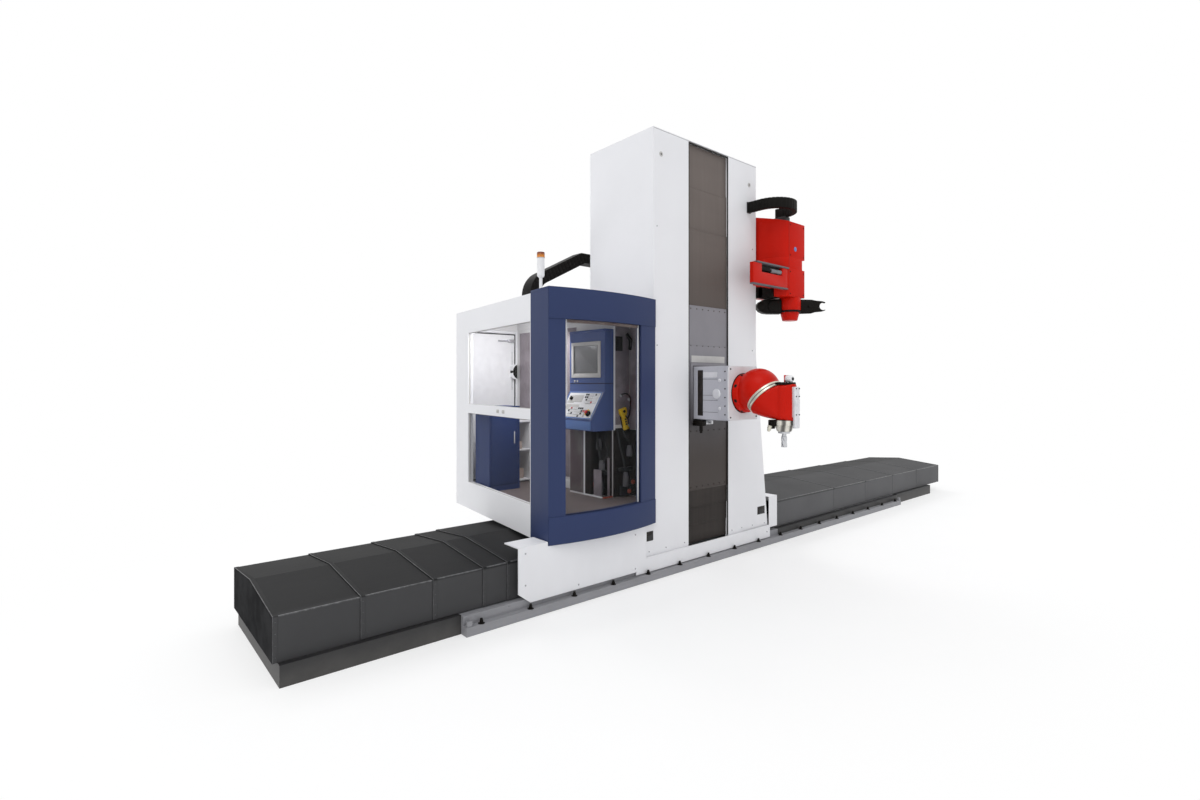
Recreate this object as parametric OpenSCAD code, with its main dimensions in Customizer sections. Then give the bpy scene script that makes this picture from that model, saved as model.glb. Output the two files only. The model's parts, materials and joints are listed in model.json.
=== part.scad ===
// Travelling column milling machine: a long bed with telescopic way covers,
// a column with an operator cabin, a horizontal ram and a universal head.
// +X runs along the bed to the right, -Y points at the operator, +Z is up.
// The origin is on the floor under the ram axis, in the plane of the column front.

/* [Bed] */
// Left end of the bed casting
bed_left = -3376; // [-3400:1:-3340]
// Right end of the bed casting
bed_right = 5414; // [5400:1:5440]
// Height of the machined top of the bed
bed_top = 345; // [335:1:350]
// Pitch of the levelling screws along the bed
screw_pitch = 524; // [500:1:524]
// Levelling screws on each side
screw_count = 17; // [2:1:17]

/* [Way covers] */
// Length of one telescopic cover box
cover_length = 1760; // [1740:1:1770]
// Step in size from one cover box to the next
cover_step = 6; // [5:0.5:6]
// Sheet thickness of the covers
cover_sheet = 3; // [2:0.5:4]
// Front face of the smallest cover box
cover_front = 85; // [85:1:95]
// Back face of the smallest cover box
cover_back = 1532; // [1520:1:1532]

/* [Column] */
// Half width of the column
column_half = 988; // [980:1:988]
// Depth of the column
column_depth = 1120; // [1110:1:1120]
// Height of the column top above the floor
column_top = 5127; // [5120:1:5200]
// Half width of the slot that the ram moves in
slot_half = 385; // [385:1:390]
// Sheet thickness of the cladding
cladding_sheet = 12; // [8:1:14]
// Width that the right side gains at its foot
flare = 278; // [200:1:278]

/* [Cabin] */
// Left front corner of the cabin
cabin_left = -2475; // [-2500:1:-2450]
// Depth of the cabin from its front corners
cabin_depth = 2520; // [2450:1:2560]
// Underside of the cabin
cabin_base = 624; // [624:1:630]
// Top of the cabin
cabin_top = 3124; // [3100:1:3200]
// Radius of the bowed cabin front
bow_radius = 2821; // [2700:1:3000]
// Thickness of the cabin frames
frame_depth = 60; // [50:1:65]

/* [Ram and head] */
// Height of the ram axis
ram_axis = 2087; // [2080:1:2095]
// Half width of the ram
ram_half = 286; // [280:1:286]
// Length of the ram
ram_length = 1900; // [1800:10:1950]
// Radius of the silver swivel ring
ring_radius = 234; // [230:1:238]
// Distance of the spindle axis in front of the column
spindle_reach = 1055; // [1045:1:1060]
// Radius of the end mill
cutter_radius = 34; // [20:1:36]

/* [Tool changer] */
// Height of the changer housing top
changer_top = 4400; // [4380:1:4400]
// Reach of one gripper arm from the hub
arm_reach = 476; // [440:1:476]
// Radius of the changer hub
hub_radius = 142; // [130:1:145]

/* [Hidden] */
$fn = 64;

// Colours
white = "#dfdfe2";
cabin_blue = "#3b4667";
console_blue = "#3d4c7d";
machine_red = "#c8181c";
cover_grey = "#444447";
iron_grey = "#8a8a8e";
steel = "#c0c2c6";
black = "#1c1b1a";

// Bed
rail_ledge = 80;
rail_top = 160;
rail_front = -75;
rail_wall = -8;
bed_front = 100;
bed_back = 1500;
bed_middle = (bed_front + bed_back) / 2;
bed_wall = 60;
bed_bays = 8;
guide_y = [300, 1300];
guide_width = 60;
guide_height = 60;
screw_first = -3220;
screw_y = -54;
screw_radius = 12;
anchor_x = [-3320, 5280];
anchor_y = -46;
anchor_radius = 14;
x_screw_radius = 32;
x_screw_z = 388;
running_gap = 0.05;
plinth_top = 165;

// Way covers, numbered from the fixed end towards the saddle
cover_foot = 170;
cover_eave_front = 506;
cover_eave_back = 530;
cover_ridge_y = 876;
cover_ridge = 584;
left_cover_x = [-4854, -4226, -3616, -3136, -2886];
right_cover_x = [5774, 4694, 3624, 2544, 1464];

// Saddle and column
saddle_left = left_cover_x[4] + cover_length;
saddle_right = right_cover_x[4] - 196;
saddle_front = 150;
saddle_back = 1540;
saddle_bottom = 420;
saddle_top = 620;
cast_half = 940;
cast_front = 60;
cast_back = 1080;
cast_top = column_top - cladding_sheet;
cast_wall = 40;
cast_slot = 420;
guideway = 400;
cladding_foot = 200;
skirt_top = 256;
flare_top = 2600;
lift_screw_x = 345;
lift_screw_y = 1010;
lift_screw_radius = 30;
plate_sheet = 6;
plate_half = slot_half - 2;

// Cabin
cabin_front = -30;
cabin_right = -column_half;
side_lean = 324 / 2520;
side_angle = atan2(2520, 324);
cabin_back = cabin_front + cabin_depth;
bow_x = (cabin_left + cabin_right) / 2;
bow_y = cabin_front + sqrt(bow_radius * bow_radius - pow(cabin_right - bow_x, 2));
front_frame_depth = 80;
pillar_y = 347;
floor_top = 880;
glass_sheet = 6;
window_x = [-2296, -1271];
window_z = [900, 2842];
side_window = [390, 2120];
side_pane_z = [[955, 1830], [1940, 2840]];
inner_wall_x = -1240;
wall_sheet = 12;
console_x = -1386;
console_y = [384, 1030];
door_x = [-2100, -1262];
door_z = [890, 2900];
door_gap = 4;

// Cable chain behind the cabin: bend radius, height of the band and its slope
chain_bend = 190;
chain_band = 145;
chain_slope = 27.5;
chain_x = -1480;
chain_rise = 152;

// Sloping keyboard of the console: its middle and the turn that lays it on the slope
slope_point = [-1486, 700, 1945];
slope_turn = -atan2(330, 200);
stop_place = [-95, -190];
knob_place = [85, 210];

// Head
ring_y = -820;
ring_z = 2045;
ring_half = 30;
ram_front = -500;
elbow_back = 130;
big = 1500;

// Tool changer
changer_foot = 3355;
changer_front = -400;
hub_x = 1376;
hub_y = -274;
arm_turn = -40.7;
loop_x = 1099;
loop_y = -190;

// Outline in the YZ plane drawn along X
module along_x(x, length)
    translate([x, 0, 0]) rotate([90, 0, 90]) linear_extrude(length) children();

// Outline in the XZ plane drawn along Y
module along_y(y, length)
    translate([0, y + length, 0]) rotate([90, 0, 0]) linear_extrude(length) children();

// Box between two opposite corners
module block(low, high)
    translate(low) cube(high - low);

// ---------- bed ----------

module bed_casting() color(iron_grey) difference() {
    union() {
        block([bed_left, bed_front, 0], [bed_right, bed_back, rail_top]);
        block([bed_left, bed_front + 40, rail_top], [bed_right, bed_back - 22, bed_top - 15]);
        for (y = guide_y)
            block([bed_left, y - 90, bed_top - 15], [bed_right, y + 90, bed_top]);
    }
    pocket = (bed_right - bed_left - (bed_bays + 1) * bed_wall) / bed_bays;
    for (i = [0:bed_bays - 1], side = [0, 1]) {
        x = bed_left + bed_wall + i * (pocket + bed_wall);
        y = side == 0 ? bed_front + 2 * bed_wall : bed_middle + bed_wall / 2;
        block([x, y, -1], [x + pocket, y + 490, bed_top - 75]);
    }
}

module rail_outline()
    polygon([[rail_front, 0], [bed_front, 0], [bed_front, rail_top], [rail_wall, rail_top],
             [rail_wall, rail_ledge], [rail_front, rail_ledge]]);

module front_rail() difference() {
    along_x(bed_left, bed_right - 60 - bed_left) rail_outline();
    for (i = [0:screw_count - 1])
        translate([screw_first + i * screw_pitch, screw_y, -1])
            cylinder(r = screw_radius + 0.5, h = rail_ledge + 2);
    for (x = anchor_x)
        translate([x, anchor_y, -1]) cylinder(r = anchor_radius, h = rail_ledge + 2);
}

// The back rail mirrors the front one about the middle of the bed
module both_sides() {
    children();
    translate([0, 2 * bed_middle, 0]) mirror([0, 1, 0]) children();
}

module levelling_rails() color("#97979b") both_sides() front_rail();

module levelling_screw() {
    cylinder(r = screw_radius, h = rail_ledge);
    translate([0, 0, rail_ledge]) cylinder(r = 20, h = 6);
    translate([0, 0, rail_ledge + 6]) cylinder(r = 18, h = 22, $fn = 6);
    translate([0, 0, rail_ledge + 28]) cylinder(r = screw_radius, h = 16);
}

module levelling_screws() color(black) both_sides()
    for (i = [0:screw_count - 1])
        translate([screw_first + i * screw_pitch, screw_y, 0]) levelling_screw();

module plinth(x0, x1) difference() {
    block([x0, 24, 0], [x1, 1540, plinth_top]);
    block([x0 + 25, 49, -1], [x1 - 25, 1515, plinth_top - 20]);
}

module end_plinths() color("#3a3a3c") {
    plinth(-4820, bed_left);
    plinth(bed_right, 6950);
}

module linear_rails() color(steel)
    for (y = guide_y)
        block([bed_left + 40, y - guide_width / 2, bed_top],
              [bed_right - 40, y + guide_width / 2, bed_top + guide_height]);

// Fixed screw with its two end bearings; the driven nut is in the saddle
module x_ball_screw() color(steel) {
    ends = [bed_left + 80, bed_right - 80];
    translate([ends[0], bed_middle, x_screw_z]) rotate([0, 90, 0])
        cylinder(r = x_screw_radius, h = ends[1] - ends[0]);
    for (x = ends)
        block([x - 60, bed_middle - 70, bed_top - 15], [x + 60, bed_middle + 70, x_screw_z + 28]);
}

// ---------- way covers ----------

// Roof-shaped cross-section, grown outwards by g
module cover_outline(g, foot)
    polygon([[cover_front - g, foot], [cover_front - g, cover_eave_front + g],
             [cover_ridge_y, cover_ridge + g], [cover_back + g, cover_eave_back + g],
             [cover_back + g, foot]]);

// One cover box; closed_end is -1, 0 or 1 for a wall at its left, none, or its right
module cover_box(x, number, closed_end) {
    g = cover_step * (number - 1);
    foot = number == 1 ? plinth_top : cover_foot;
    difference() {
        along_x(x, cover_length) cover_outline(g, foot);
        along_x(x - (closed_end == -1 ? -cover_sheet : 1),
                cover_length + 1 - (closed_end == 0 ? -1 : cover_sheet))
            cover_outline(g - cover_sheet, foot - 10);
    }
}

module left_cover(number) color(cover_grey)
    cover_box(left_cover_x[number - 1], number, number == 1 ? -1 : 0);

module right_cover(number) color(cover_grey)
    cover_box(right_cover_x[number - 1], number, number == 1 ? 1 : 0);

module left_cover_1() left_cover(1);
module left_cover_2() left_cover(2);
module left_cover_3() left_cover(3);
module left_cover_4() left_cover(4);
module left_cover_5() left_cover(5);
module right_cover_1() right_cover(1);
module right_cover_2() right_cover(2);
module right_cover_3() right_cover(3);
module right_cover_4() right_cover(4);
module right_cover_5() right_cover(5);

// ---------- saddle and column ----------

module saddle() color(iron_grey) difference() {
    union() {
        block([saddle_left, saddle_front, saddle_bottom], [saddle_right, saddle_back, saddle_top]);
        block([-160, bed_middle - 80, bed_top - 5], [160, bed_middle + 80, saddle_bottom]);
    }
    translate([-161, bed_middle, x_screw_z]) rotate([0, 90, 0])
        cylinder(r = x_screw_radius + running_gap, h = 322);
    for (x = [-900, 300], y = [430, 930])
        block([x, y, saddle_bottom - 1], [x + 560, y + 250, saddle_top - 60]);
}

module guide_blocks() color(steel)
    for (x = [-1000, -400, 360, 960], y = guide_y) difference() {
        block([x - 110, y - 75, bed_top + 20], [x + 110, y + 75, saddle_bottom]);
        block([x - 111, y - guide_width / 2 - 0.5, bed_top + 19],
              [x + 111, y + guide_width / 2 + 0.5, bed_top + guide_height + 0.5]);
    }

// Portal of two box uprights, open below, with a base and a bridge
module column_casting() color(iron_grey) difference() {
    union() {
        for (side = [-1, 1]) {
            translate([side * (cast_slot + cast_half) / 2, (cast_front + cast_back) / 2,
                       (saddle_top + cast_top) / 2])
                cube([cast_half - cast_slot, cast_back - cast_front, cast_top - saddle_top],
                     center = true);
            for (y = [250, 750])
                translate([side * (guideway + cast_slot) / 2, y, (saddle_top + cast_top) / 2])
                    cube([cast_slot - guideway, 100, cast_top - saddle_top], center = true);
        }
        block([-cast_slot, cast_front, saddle_top], [cast_slot, cast_back, saddle_top + 140]);
        block([-cast_slot, cast_front, cast_top - 190], [cast_slot, cast_back, cast_top]);
    }
    for (side = [-1, 1])
        translate([side * (cast_slot + cast_half) / 2, (cast_front + cast_back) / 2,
                   (saddle_top + cast_top) / 2 - cast_wall])
            cube([cast_half - cast_slot - 2 * cast_wall, cast_back - cast_front - 2 * cast_wall,
                  cast_top - saddle_top], center = true);
}

// Left cladding: front, side, back and the jamb beside the slot
module column_left_cladding() color(white) {
    top = column_top - cladding_sheet;
    along_y(0, cladding_sheet)
        polygon([[-column_half, top], [-slot_half, top], [-slot_half, cladding_foot],
                 [-column_half - 140, cladding_foot], [-column_half - 140, cabin_base - 14],
                 [-column_half, cabin_base - 14]]);
    block([-column_half, cladding_sheet, cabin_base],
          [cladding_sheet - column_half, column_depth, top]);
    block([-slot_half - cladding_sheet, cladding_sheet, cladding_foot],
          [-slot_half, cast_front - 12, top]);
    block([cladding_sheet - column_half, column_depth - cladding_sheet, saddle_top + 4],
          [-cast_slot, column_depth, top]);
}

// Solid form of the right side, drawn in by t on its outer faces
module right_form(t)
    along_y(t, column_depth - 2 * t)
        polygon([[slot_half + t, cladding_foot - t], [column_half + flare - t, cladding_foot - t],
                 [column_half - t, flare_top], [column_half - t, cast_top + t],
                 [slot_half + t, cast_top + t]]);

module column_right_cladding() color(white) difference() {
    right_form(0);
    right_form(cladding_sheet);
    block([slot_half - 1, cast_front - 12, cladding_foot - 1],
          [cast_slot, column_depth + 1, column_top]);
    block([slot_half - 1, saddle_front - 10, cladding_foot - 1],
          [2 * column_half, column_depth + 1, saddle_top + 4]);
}

module column_top_cover() color(white)
    block([-column_half, 0, column_top - cladding_sheet], [column_half, column_depth, column_top]);

module front_skirt() color(white) {
    sheet = 12;
    along_y(cabin_front, sheet)
        polygon([[-2816, 228], [-2683, 127], [-1286, 127], [-1286, 90], [1274, 90],
                 [1274, skirt_top], [-1128, skirt_top], [-1128, cabin_base],
                 [cabin_left - 5, cabin_base], [cabin_left - 5, 665], [-2816, 665]]);
    block([-2816, cabin_front + sheet, 653], [cabin_left - 5, 220, 665]);
    block([cabin_left + 60, cabin_front + sheet, cabin_base - 12], [-1140, 200, cabin_base]);
    block([-1120, cabin_front + sheet, cladding_foot + 8], [700, 0, skirt_top - 8]);
}

// Hood that closes the gap between the saddle and the right-hand covers
module saddle_end_box() color(white) difference() {
    block([saddle_right, -18, 217], [right_cover_x[4], 1562, 640]);
    block([saddle_right - 1, -14, 216], [right_cover_x[4] + 1, 1558, 636]);
}

module lift_screws() color(steel)
    for (side = [-1, 1])
        translate([side * lift_screw_x, lift_screw_y, saddle_top + 140])
            cylinder(r = lift_screw_radius, h = cast_top - saddle_top - 330);

module slot_plate(layer, z0, z1) {
    y = 14 + 8 * layer;
    block([-plate_half, y, z0], [plate_half, y + plate_sheet, z1]);
}

module fixed_slot_plates() color("#5b5654") {
    slot_plate(3, 3920, 5100);
    slot_plate(3, 260, 1060);
    for (side = [-1, 1], z = [saddle_top + 20, 5040])
        translate([side * 370 - 12, 44, z]) cube([24, cast_front - 44, 40]);
}
module upper_slot_plate_2() color("#5b5654") slot_plate(2, 3413, 4593);
module upper_slot_plate_3() color("#5b5654") slot_plate(1, 2907, 4087);
module lower_slot_plate_2() color("#5b5654") slot_plate(2, 473, 1273);
module lower_slot_plate_3() color("#5b5654") slot_plate(1, 687, 1487);

// ---------- cabin ----------

function side_x(y) = cabin_left + side_lean * (y - cabin_front);

// Plan of the cabin drawn in by t at the side, f at the front and b at the back
module cabin_plan(t, f, b) intersection() {
    translate([bow_x, bow_y]) circle(r = bow_radius - f, $fn = 180);
    polygon([[side_x(-300) + t, -300], [side_x(cabin_back) + t, cabin_back - b],
             [cabin_right, cabin_back - b], [cabin_right, -300]]);
}

// Frame strip of the cabin plan between two depths
module frame_strip(y0, y1) intersection() {
    difference() {
        cabin_plan(0, 0, 0);
        cabin_plan(frame_depth, front_frame_depth, frame_depth);
    }
    translate([cabin_left - 100, y0]) square([2000, y1 - y0]);
}

module on_side() translate([cabin_left, cabin_front, 0]) rotate([0, 0, side_angle]) children();

module cabin_floor() color("#6a6360") difference() {
    translate([0, 0, cabin_base]) linear_extrude(floor_top - cabin_base)
        cabin_plan(frame_depth, front_frame_depth, frame_depth);
    block([-2250, 100, cabin_base - 1], [-1100, 1150, floor_top - 30]);
    block([-2150, 1210, cabin_base - 1], [-1100, 2360, floor_top - 30]);
}

module cabin_roof() color(white)
    translate([0, 0, cabin_top - 60]) linear_extrude(56)
        cabin_plan(frame_depth, front_frame_depth, frame_depth);

module cabin_front_frame() color(cabin_blue) difference() {
    translate([0, 0, cabin_base]) linear_extrude(cabin_top - cabin_base)
        frame_strip(-300, pillar_y);
    block([window_x[0], -400, window_z[0]], [window_x[1], 80, window_z[1]]);
}

module cabin_side_frame() color(white) difference() {
    translate([0, 0, cabin_base]) linear_extrude(cabin_top - cabin_base)
        frame_strip(pillar_y, cabin_back - frame_depth);
    for (pane = side_pane_z)
        on_side() block([side_window[0], -frame_depth - 20, pane[0]], [side_window[1], 20, pane[1]]);
}

module cabin_rear_frame() color(white) {
    difference() {
        translate([0, 0, cabin_base]) linear_extrude(cabin_top - cabin_base)
            frame_strip(cabin_back - frame_depth, cabin_back);
        block([door_x[0], cabin_back - 100, door_z[0]], [door_x[1], cabin_back + 1, door_z[1]]);
    }
    block([cabin_right, column_depth + 2, cabin_base],
          [cabin_right + wall_sheet, cabin_back, cabin_top]);
}

module front_pane() intersection() {
    translate([bow_x, bow_y, window_z[0]]) difference() {
        cylinder(r = bow_radius - 30, h = window_z[1] - window_z[0], $fn = 180);
        translate([0, 0, -1])
            cylinder(r = bow_radius - 30 - glass_sheet, h = 3000, $fn = 180);
    }
    block([window_x[0], -400, window_z[0]], [window_x[1], 80, window_z[1]]);
}

module cabin_glass() color([0.75, 0.8, 0.85, 0.35]) {
    front_pane();
    for (pane = side_pane_z)
        on_side() block([side_window[0], -36, pane[0]], [side_window[1], -36 + glass_sheet, pane[1]]);
}

module cabin_inner_wall() color("#a9a6a8") {
    block([inner_wall_x, 392, floor_top],
          [inner_wall_x + wall_sheet, cabin_back - frame_depth, cabin_top - 60]);
    block([inner_wall_x + wall_sheet, 392, floor_top], [cabin_right, 404, cabin_top - 60]);
    block([console_x, 640, floor_top], [inner_wall_x, 1030, 1660]);
}

// The door turns about its left edge; its handles are half-moon plates
module cabin_door() color("#cfcfd2") {
    inner = cabin_back - 50;
    difference() {
        block([door_x[0] + door_gap, inner, door_z[0] + door_gap],
              [door_x[1] - door_gap, cabin_back - 10, door_z[1] - door_gap]);
        block([door_x[0] + 120, inner + 12, door_z[0] + 120],
              [door_x[1] - 120, cabin_back, door_z[1] - 900]);
    }
    for (y = [inner - 70, cabin_back - 10])
        intersection() {
            translate([door_x[1] - 18, y, 2363]) rotate([-90, 0, 0]) cylinder(r = 105, h = 70);
            block([door_x[1] - 88, y, 2240], [door_x[1] - 18, min(y + 70, cabin_back + 30), 2480]);
        }
}

module console_housing() color(console_blue) difference() {
    along_y(console_y[0], console_y[1] - console_y[0])
        polygon([[inner_wall_x, 2830], [console_x, 2830], [console_x, 2110], [-1586, 1780],
                 [-1586, 1690], [-1550, 1660], [inner_wall_x, 1660]]);
    block([console_x - 1, 451, 2270], [console_x + 14, 985, 2690]);
}

module console_screen() color("#a7a9ad") difference() {
    block([console_x - 6, 451, 2270], [console_x + 14, 985, 2690]);
    block([console_x - 7, 491, 2320], [console_x + 2, 945, 2650]);
}

// Places its children on the keyboard slope: x up the slope, z out of it
module on_slope(up, across)
    translate(slope_point) rotate([0, slope_turn, 0]) translate([up, across, 0]) children();

module console_keypad() color("#b9bbbf") {
    difference() {
        on_slope(-178, -300) cube([356, 600, 8]);
        on_slope(stop_place[0], stop_place[1]) translate([0, 0, -1]) cylinder(r = 12.5, h = 10);
    }
    for (row = [0:3], col = [0:6])
        on_slope(24 + row * 34, -262 + col * 34) translate([0, 0, 8]) cube([26, 27, 5]);
    for (row = [0:3], col = [0:8])
        on_slope(-160 + row * 34, -130 + col * 34) translate([0, 0, 8]) cube([26, 27, 5]);
}

module emergency_stop() color(machine_red)
    on_slope(stop_place[0], stop_place[1]) translate([0, 0, 8.3]) {
        cylinder(r = 12, h = 16);
        translate([0, 0, 16]) cylinder(r1 = 24, r2 = 20, h = 14);
    }

module override_knob() color(black)
    on_slope(knob_place[0], knob_place[1]) translate([0, 0, 8.3]) {
        cylinder(r = 22, h = 18);
        translate([-3, 0, 18]) cube([6, 21, 3]);
    }

module tool_cabinet() color(cabin_blue) difference() {
    block([-2150, 1640, floor_top], [-1716, 1980, 1906]);
    for (z = [950, 1185, 1420, 1655])
        block([-1724, 1660, z], [-1715, 1960, z + 205]);
    block([-2130, 1639, 940], [-1736, 1648, 1876]);
}

module stack_light() color("#e8e8ea") translate([-2086, 650, cabin_top - 4]) {
    cylinder(r = 18, h = 252);
    translate([0, 0, 252]) cylinder(r = 41, h = 208);
    translate([0, 0, 460]) cylinder(r = 44, h = 65);
}

// Cable chain: up from the cabin roof, over in a bend, then up a slope and level
// to its bracket behind the column
module chain_path() {
    turn = 90 + chain_slope;
    along = [cos(chain_slope), sin(chain_slope)];
    start = (chain_bend + 1) * [cos(turn), sin(turn)];
    over = (chain_bend + chain_band - 1) * [cos(turn), sin(turn)];
    run = 690 * along;
    level = [471, 0];
    translate([-chain_bend - chain_band, -chain_rise]) square([chain_band, chain_rise]);
    intersection() {
        difference() {
            circle(r = chain_bend + chain_band, $fn = 96);
            circle(r = chain_bend, $fn = 96);
        }
        polygon([[0, 0], [-big, 0], [-big, big], big * [cos(turn), sin(turn)]]);
    }
    polygon([start - 4 * along, start + run, start + run + level,
             start + run + level + [0, (chain_band - 2) * cos(chain_slope)],
             over + run, over - 4 * along]);
}

module cable_chain() color(black) {
    along_y(1250, 200) translate([chain_x, cabin_top - 4 + chain_rise]) chain_path();
    block([-606, column_depth, 3765], [-500, 1256, 3880]);
}

// ---------- ram ----------

ram_low = ram_axis - 317;
ram_high = ram_axis + 318;

module ram_saddle() color(iron_grey) difference() {
    union() {
        block([0.5 - guideway, cast_front + 4, 1650], [guideway - 0.5, 960, 2525]);
        block([-300, 14 + plate_sheet, 1755], [300, cast_front + 4, 2415]);
        for (side = [-1, 1])
            translate([side * lift_screw_x, lift_screw_y, 2090])
                cube([90, 100, 180], center = true);
    }
    block([-ram_half - 1, 0, ram_low - 1], [ram_half + 1, 970, ram_high + 1]);
    for (side = [-1, 1])
        translate([side * lift_screw_x, lift_screw_y, 1990])
            cylinder(r = lift_screw_radius + running_gap, h = 200);
}

module carriage_plate() color("#8b8a8d") difference() {
    block([-plate_half, 14, 900], [plate_half, 14 + plate_sheet, 3150]);
    block([-ram_half - 4, 13, ram_low - 4], [ram_half + 4, 21, ram_high + 4]);
}

// Ram with its drive-shaft bore, edge chamfers and a side groove
module ram() color("#8e8d93") difference() {
    along_y(ram_front, ram_length) offset(delta = 14, chamfer = true)
        translate([-ram_half + 14, ram_low + 14])
            square([2 * ram_half - 28, ram_high - ram_low - 28]);
    translate([0, ram_front - 1, ram_axis]) rotate([-90, 0, 0])
        cylinder(r = 110, h = ram_length + 2);
    for (side = [-1, 1])
        translate([side * ram_half, ram_front + 60, ram_axis])
            cube([16, 24, 420], center = true);
}

// ---------- head ----------

// Places its children on the swivel axis, z pointing down it towards the spindle
module on_swivel() translate([0, ring_y, ring_z]) rotate([135, 0, 0]) children();

module head_flange_half() color(machine_red) difference() {
    union() {
        translate([0, ram_front, ram_axis]) rotate([90, 0, 0]) cylinder(r = 225, h = 90);
        translate([0, ram_front - 40, ram_axis]) rotate([90, 0, 0]) cylinder(r = 200, h = 230);
        on_swivel() translate([0, 0, -elbow_back]) {
            sphere(r = ring_radius + 4, $fn = 96);
            cylinder(r = ring_radius - 8, h = elbow_back);
        }
    }
    on_swivel() translate([-big / 2, -big / 2, -ring_half]) cube(big);
    block([-big, ram_front, 0], [big, 0, 4000]);
}

module swivel_ring() color(steel)
    on_swivel() translate([0, 0, -ring_half]) cylinder(r = ring_radius, h = 2 * ring_half);

module head_spindle_half() {
    color(machine_red) difference() {
        hull() {
            on_swivel() translate([0, 0, ring_half - 4])
                cylinder(r = ring_radius - 8, h = 20, $fn = 32);
            translate([0, -spindle_reach, 1795]) cylinder(r = 135, h = 400, $fn = 32);
        }
        on_swivel() translate([-big / 2, -big / 2, ring_half + 0.3 - big]) cube(big);
    }
    color(steel) {
        block([-46, -spindle_reach - 170, 1830], [46, -spindle_reach - 120, 2160]);
        block([-46, -spindle_reach - 170, 1708], [46, -spindle_reach - 130, 1830]);
    }
    color(black) difference() {
        translate([0, -spindle_reach, 2190]) cylinder(r = 126, h = 24);
        on_swivel() translate([-big / 2, -big / 2, ring_half + 2 - big]) cube(big);
    }
    color(steel) translate([0, -spindle_reach - 60, 2200]) cylinder(r = 38, h = 86);
}

module spindle_quill() color(steel) translate([0, -spindle_reach, 0])
    rotate_extrude($fn = 96)
        polygon([[45.05, 1795], [122, 1795], [122, 1745], [104, 1738], [78, 1672], [45.05, 1672]]);

module spindle_shaft() color("#9a9ca0") translate([0, -spindle_reach, 1655]) {
    cylinder(r = 45, h = 138);
    translate([0, 0, -6]) cylinder(r = 64, h = 20);
}

module end_mill() color(steel) translate([0, -spindle_reach, 1495]) difference() {
    union() {
        cylinder(r = cutter_radius, h = 112);
        translate([0, 0, 112]) cylinder(r = 24, h = 42);
    }
    for (i = [0:3])
        rotate([0, 0, 90 * i]) translate([cutter_radius, 12, -1]) cylinder(r = 14, h = 96);
}

// ---------- tool changer ----------

module changer_rails() color(steel)
    for (z = [3650, 4250])
        block([column_half, 90, z - 20], [column_half + 29.7, 720, z + 20]);

// Housing with its slide plate, the red shift box and a service notch
module changer_housing() {
    color(machine_red) difference() {
        union() {
            translate([0, 0, changer_foot]) linear_extrude(changer_top - changer_foot)
                polygon([[1018, 0], [1126, -340], [1154, changer_front], [1534, changer_front],
                         [1534, 100], [1062, 100], [1062, 560], [1018, 560]]);
            block([330, changer_front, 3450], [1120, -200, 3705]);
        }
        block([1474, -500, 3728], [1535, 101, 3864]);
        block([540, changer_front - 1, 3600], [1000, -330, 3706]);
    }
    color("#4a4a4d") {
        block([434, changer_front - 8, 3705], [1146, -190, 3727]);
        block([340, changer_front - 8, 3428], [1130, -190, 3450]);
        block([1300, -250, changer_top], [1420, -60, changer_top + 66]);
    }
    color(steel) translate([530, -366, 3645]) rotate([0, 90, 0]) cylinder(r = 29, h = 480);
}

module changer_rotor() color(machine_red) translate([hub_x, hub_y, 0]) {
    translate([0, 0, 3125]) cylinder(r = hub_radius, h = changer_foot - 3125 - 0.5);
    translate([0, 0, 3100]) cylinder(r = hub_radius + 6, h = 25);
    translate([0, 0, 3040]) cylinder(r1 = 104, r2 = 124, h = 60);
}

// Two opposite gripper arms with forked ends
module changer_arms() color(black)
    translate([hub_x, hub_y, 0]) rotate([0, 0, arm_turn]) difference() {
        union() {
            block([-arm_reach + 46, -62, 3140], [arm_reach - 136, 62, 3340]);
            along_y(-34, 68)
                polygon([[arm_reach - 138, 3170], [arm_reach, 3190], [arm_reach, 3300],
                         [arm_reach - 138, 3320]]);
        }
        translate([0, 0, 3100]) cylinder(r = hub_radius, h = 300);
        translate([arm_reach, -80, 3245]) rotate([-90, 0, 0]) cylinder(r = 46, h = 160);
        translate([46 - arm_reach, -80, 3240]) rotate([-90, 0, 0]) cylinder(r = 50, h = 160);
    }

// Cable chain of the changer: a flat U from the column front to the housing top
module changer_chain() color(black) {
    z = changer_top + 68;
    height = 138;
    inner = 250;
    outer = 310;
    translate([loop_x, loop_y, z]) difference() {
        cylinder(r = outer, h = height, $fn = 96);
        translate([0, 0, -1]) cylinder(r = inner, h = height + 2, $fn = 96);
        translate([-big, 0, -1]) cube([2 * big, big, height + 2]);
    }
    block([loop_x - outer, loop_y, z], [loop_x - inner, 0, z + height]);
    block([loop_x + inner, loop_y, z], [loop_x + outer, -60, z + height]);
}

bed_casting();
levelling_rails();
levelling_screws();
end_plinths();
linear_rails();
x_ball_screw();
left_cover_1();
left_cover_2();
left_cover_3();
left_cover_4();
left_cover_5();
right_cover_1();
right_cover_2();
right_cover_3();
right_cover_4();
right_cover_5();
saddle();
guide_blocks();
column_casting();
column_left_cladding();
column_right_cladding();
column_top_cover();
front_skirt();
saddle_end_box();
lift_screws();
fixed_slot_plates();
upper_slot_plate_2();
upper_slot_plate_3();
lower_slot_plate_2();
lower_slot_plate_3();
cabin_floor();
cabin_roof();
cabin_front_frame();
cabin_side_frame();
cabin_rear_frame();
cabin_glass();
cabin_inner_wall();
cabin_door();
console_housing();
console_screen();
console_keypad();
emergency_stop();
override_knob();
tool_cabinet();
stack_light();
cable_chain();
ram_saddle();
carriage_plate();
ram();
head_flange_half();
swivel_ring();
head_spindle_half();
spindle_quill();
spindle_shaft();
end_mill();
changer_rails();
changer_housing();
changer_rotor();
changer_arms();
changer_chain();
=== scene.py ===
import json
import math

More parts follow.
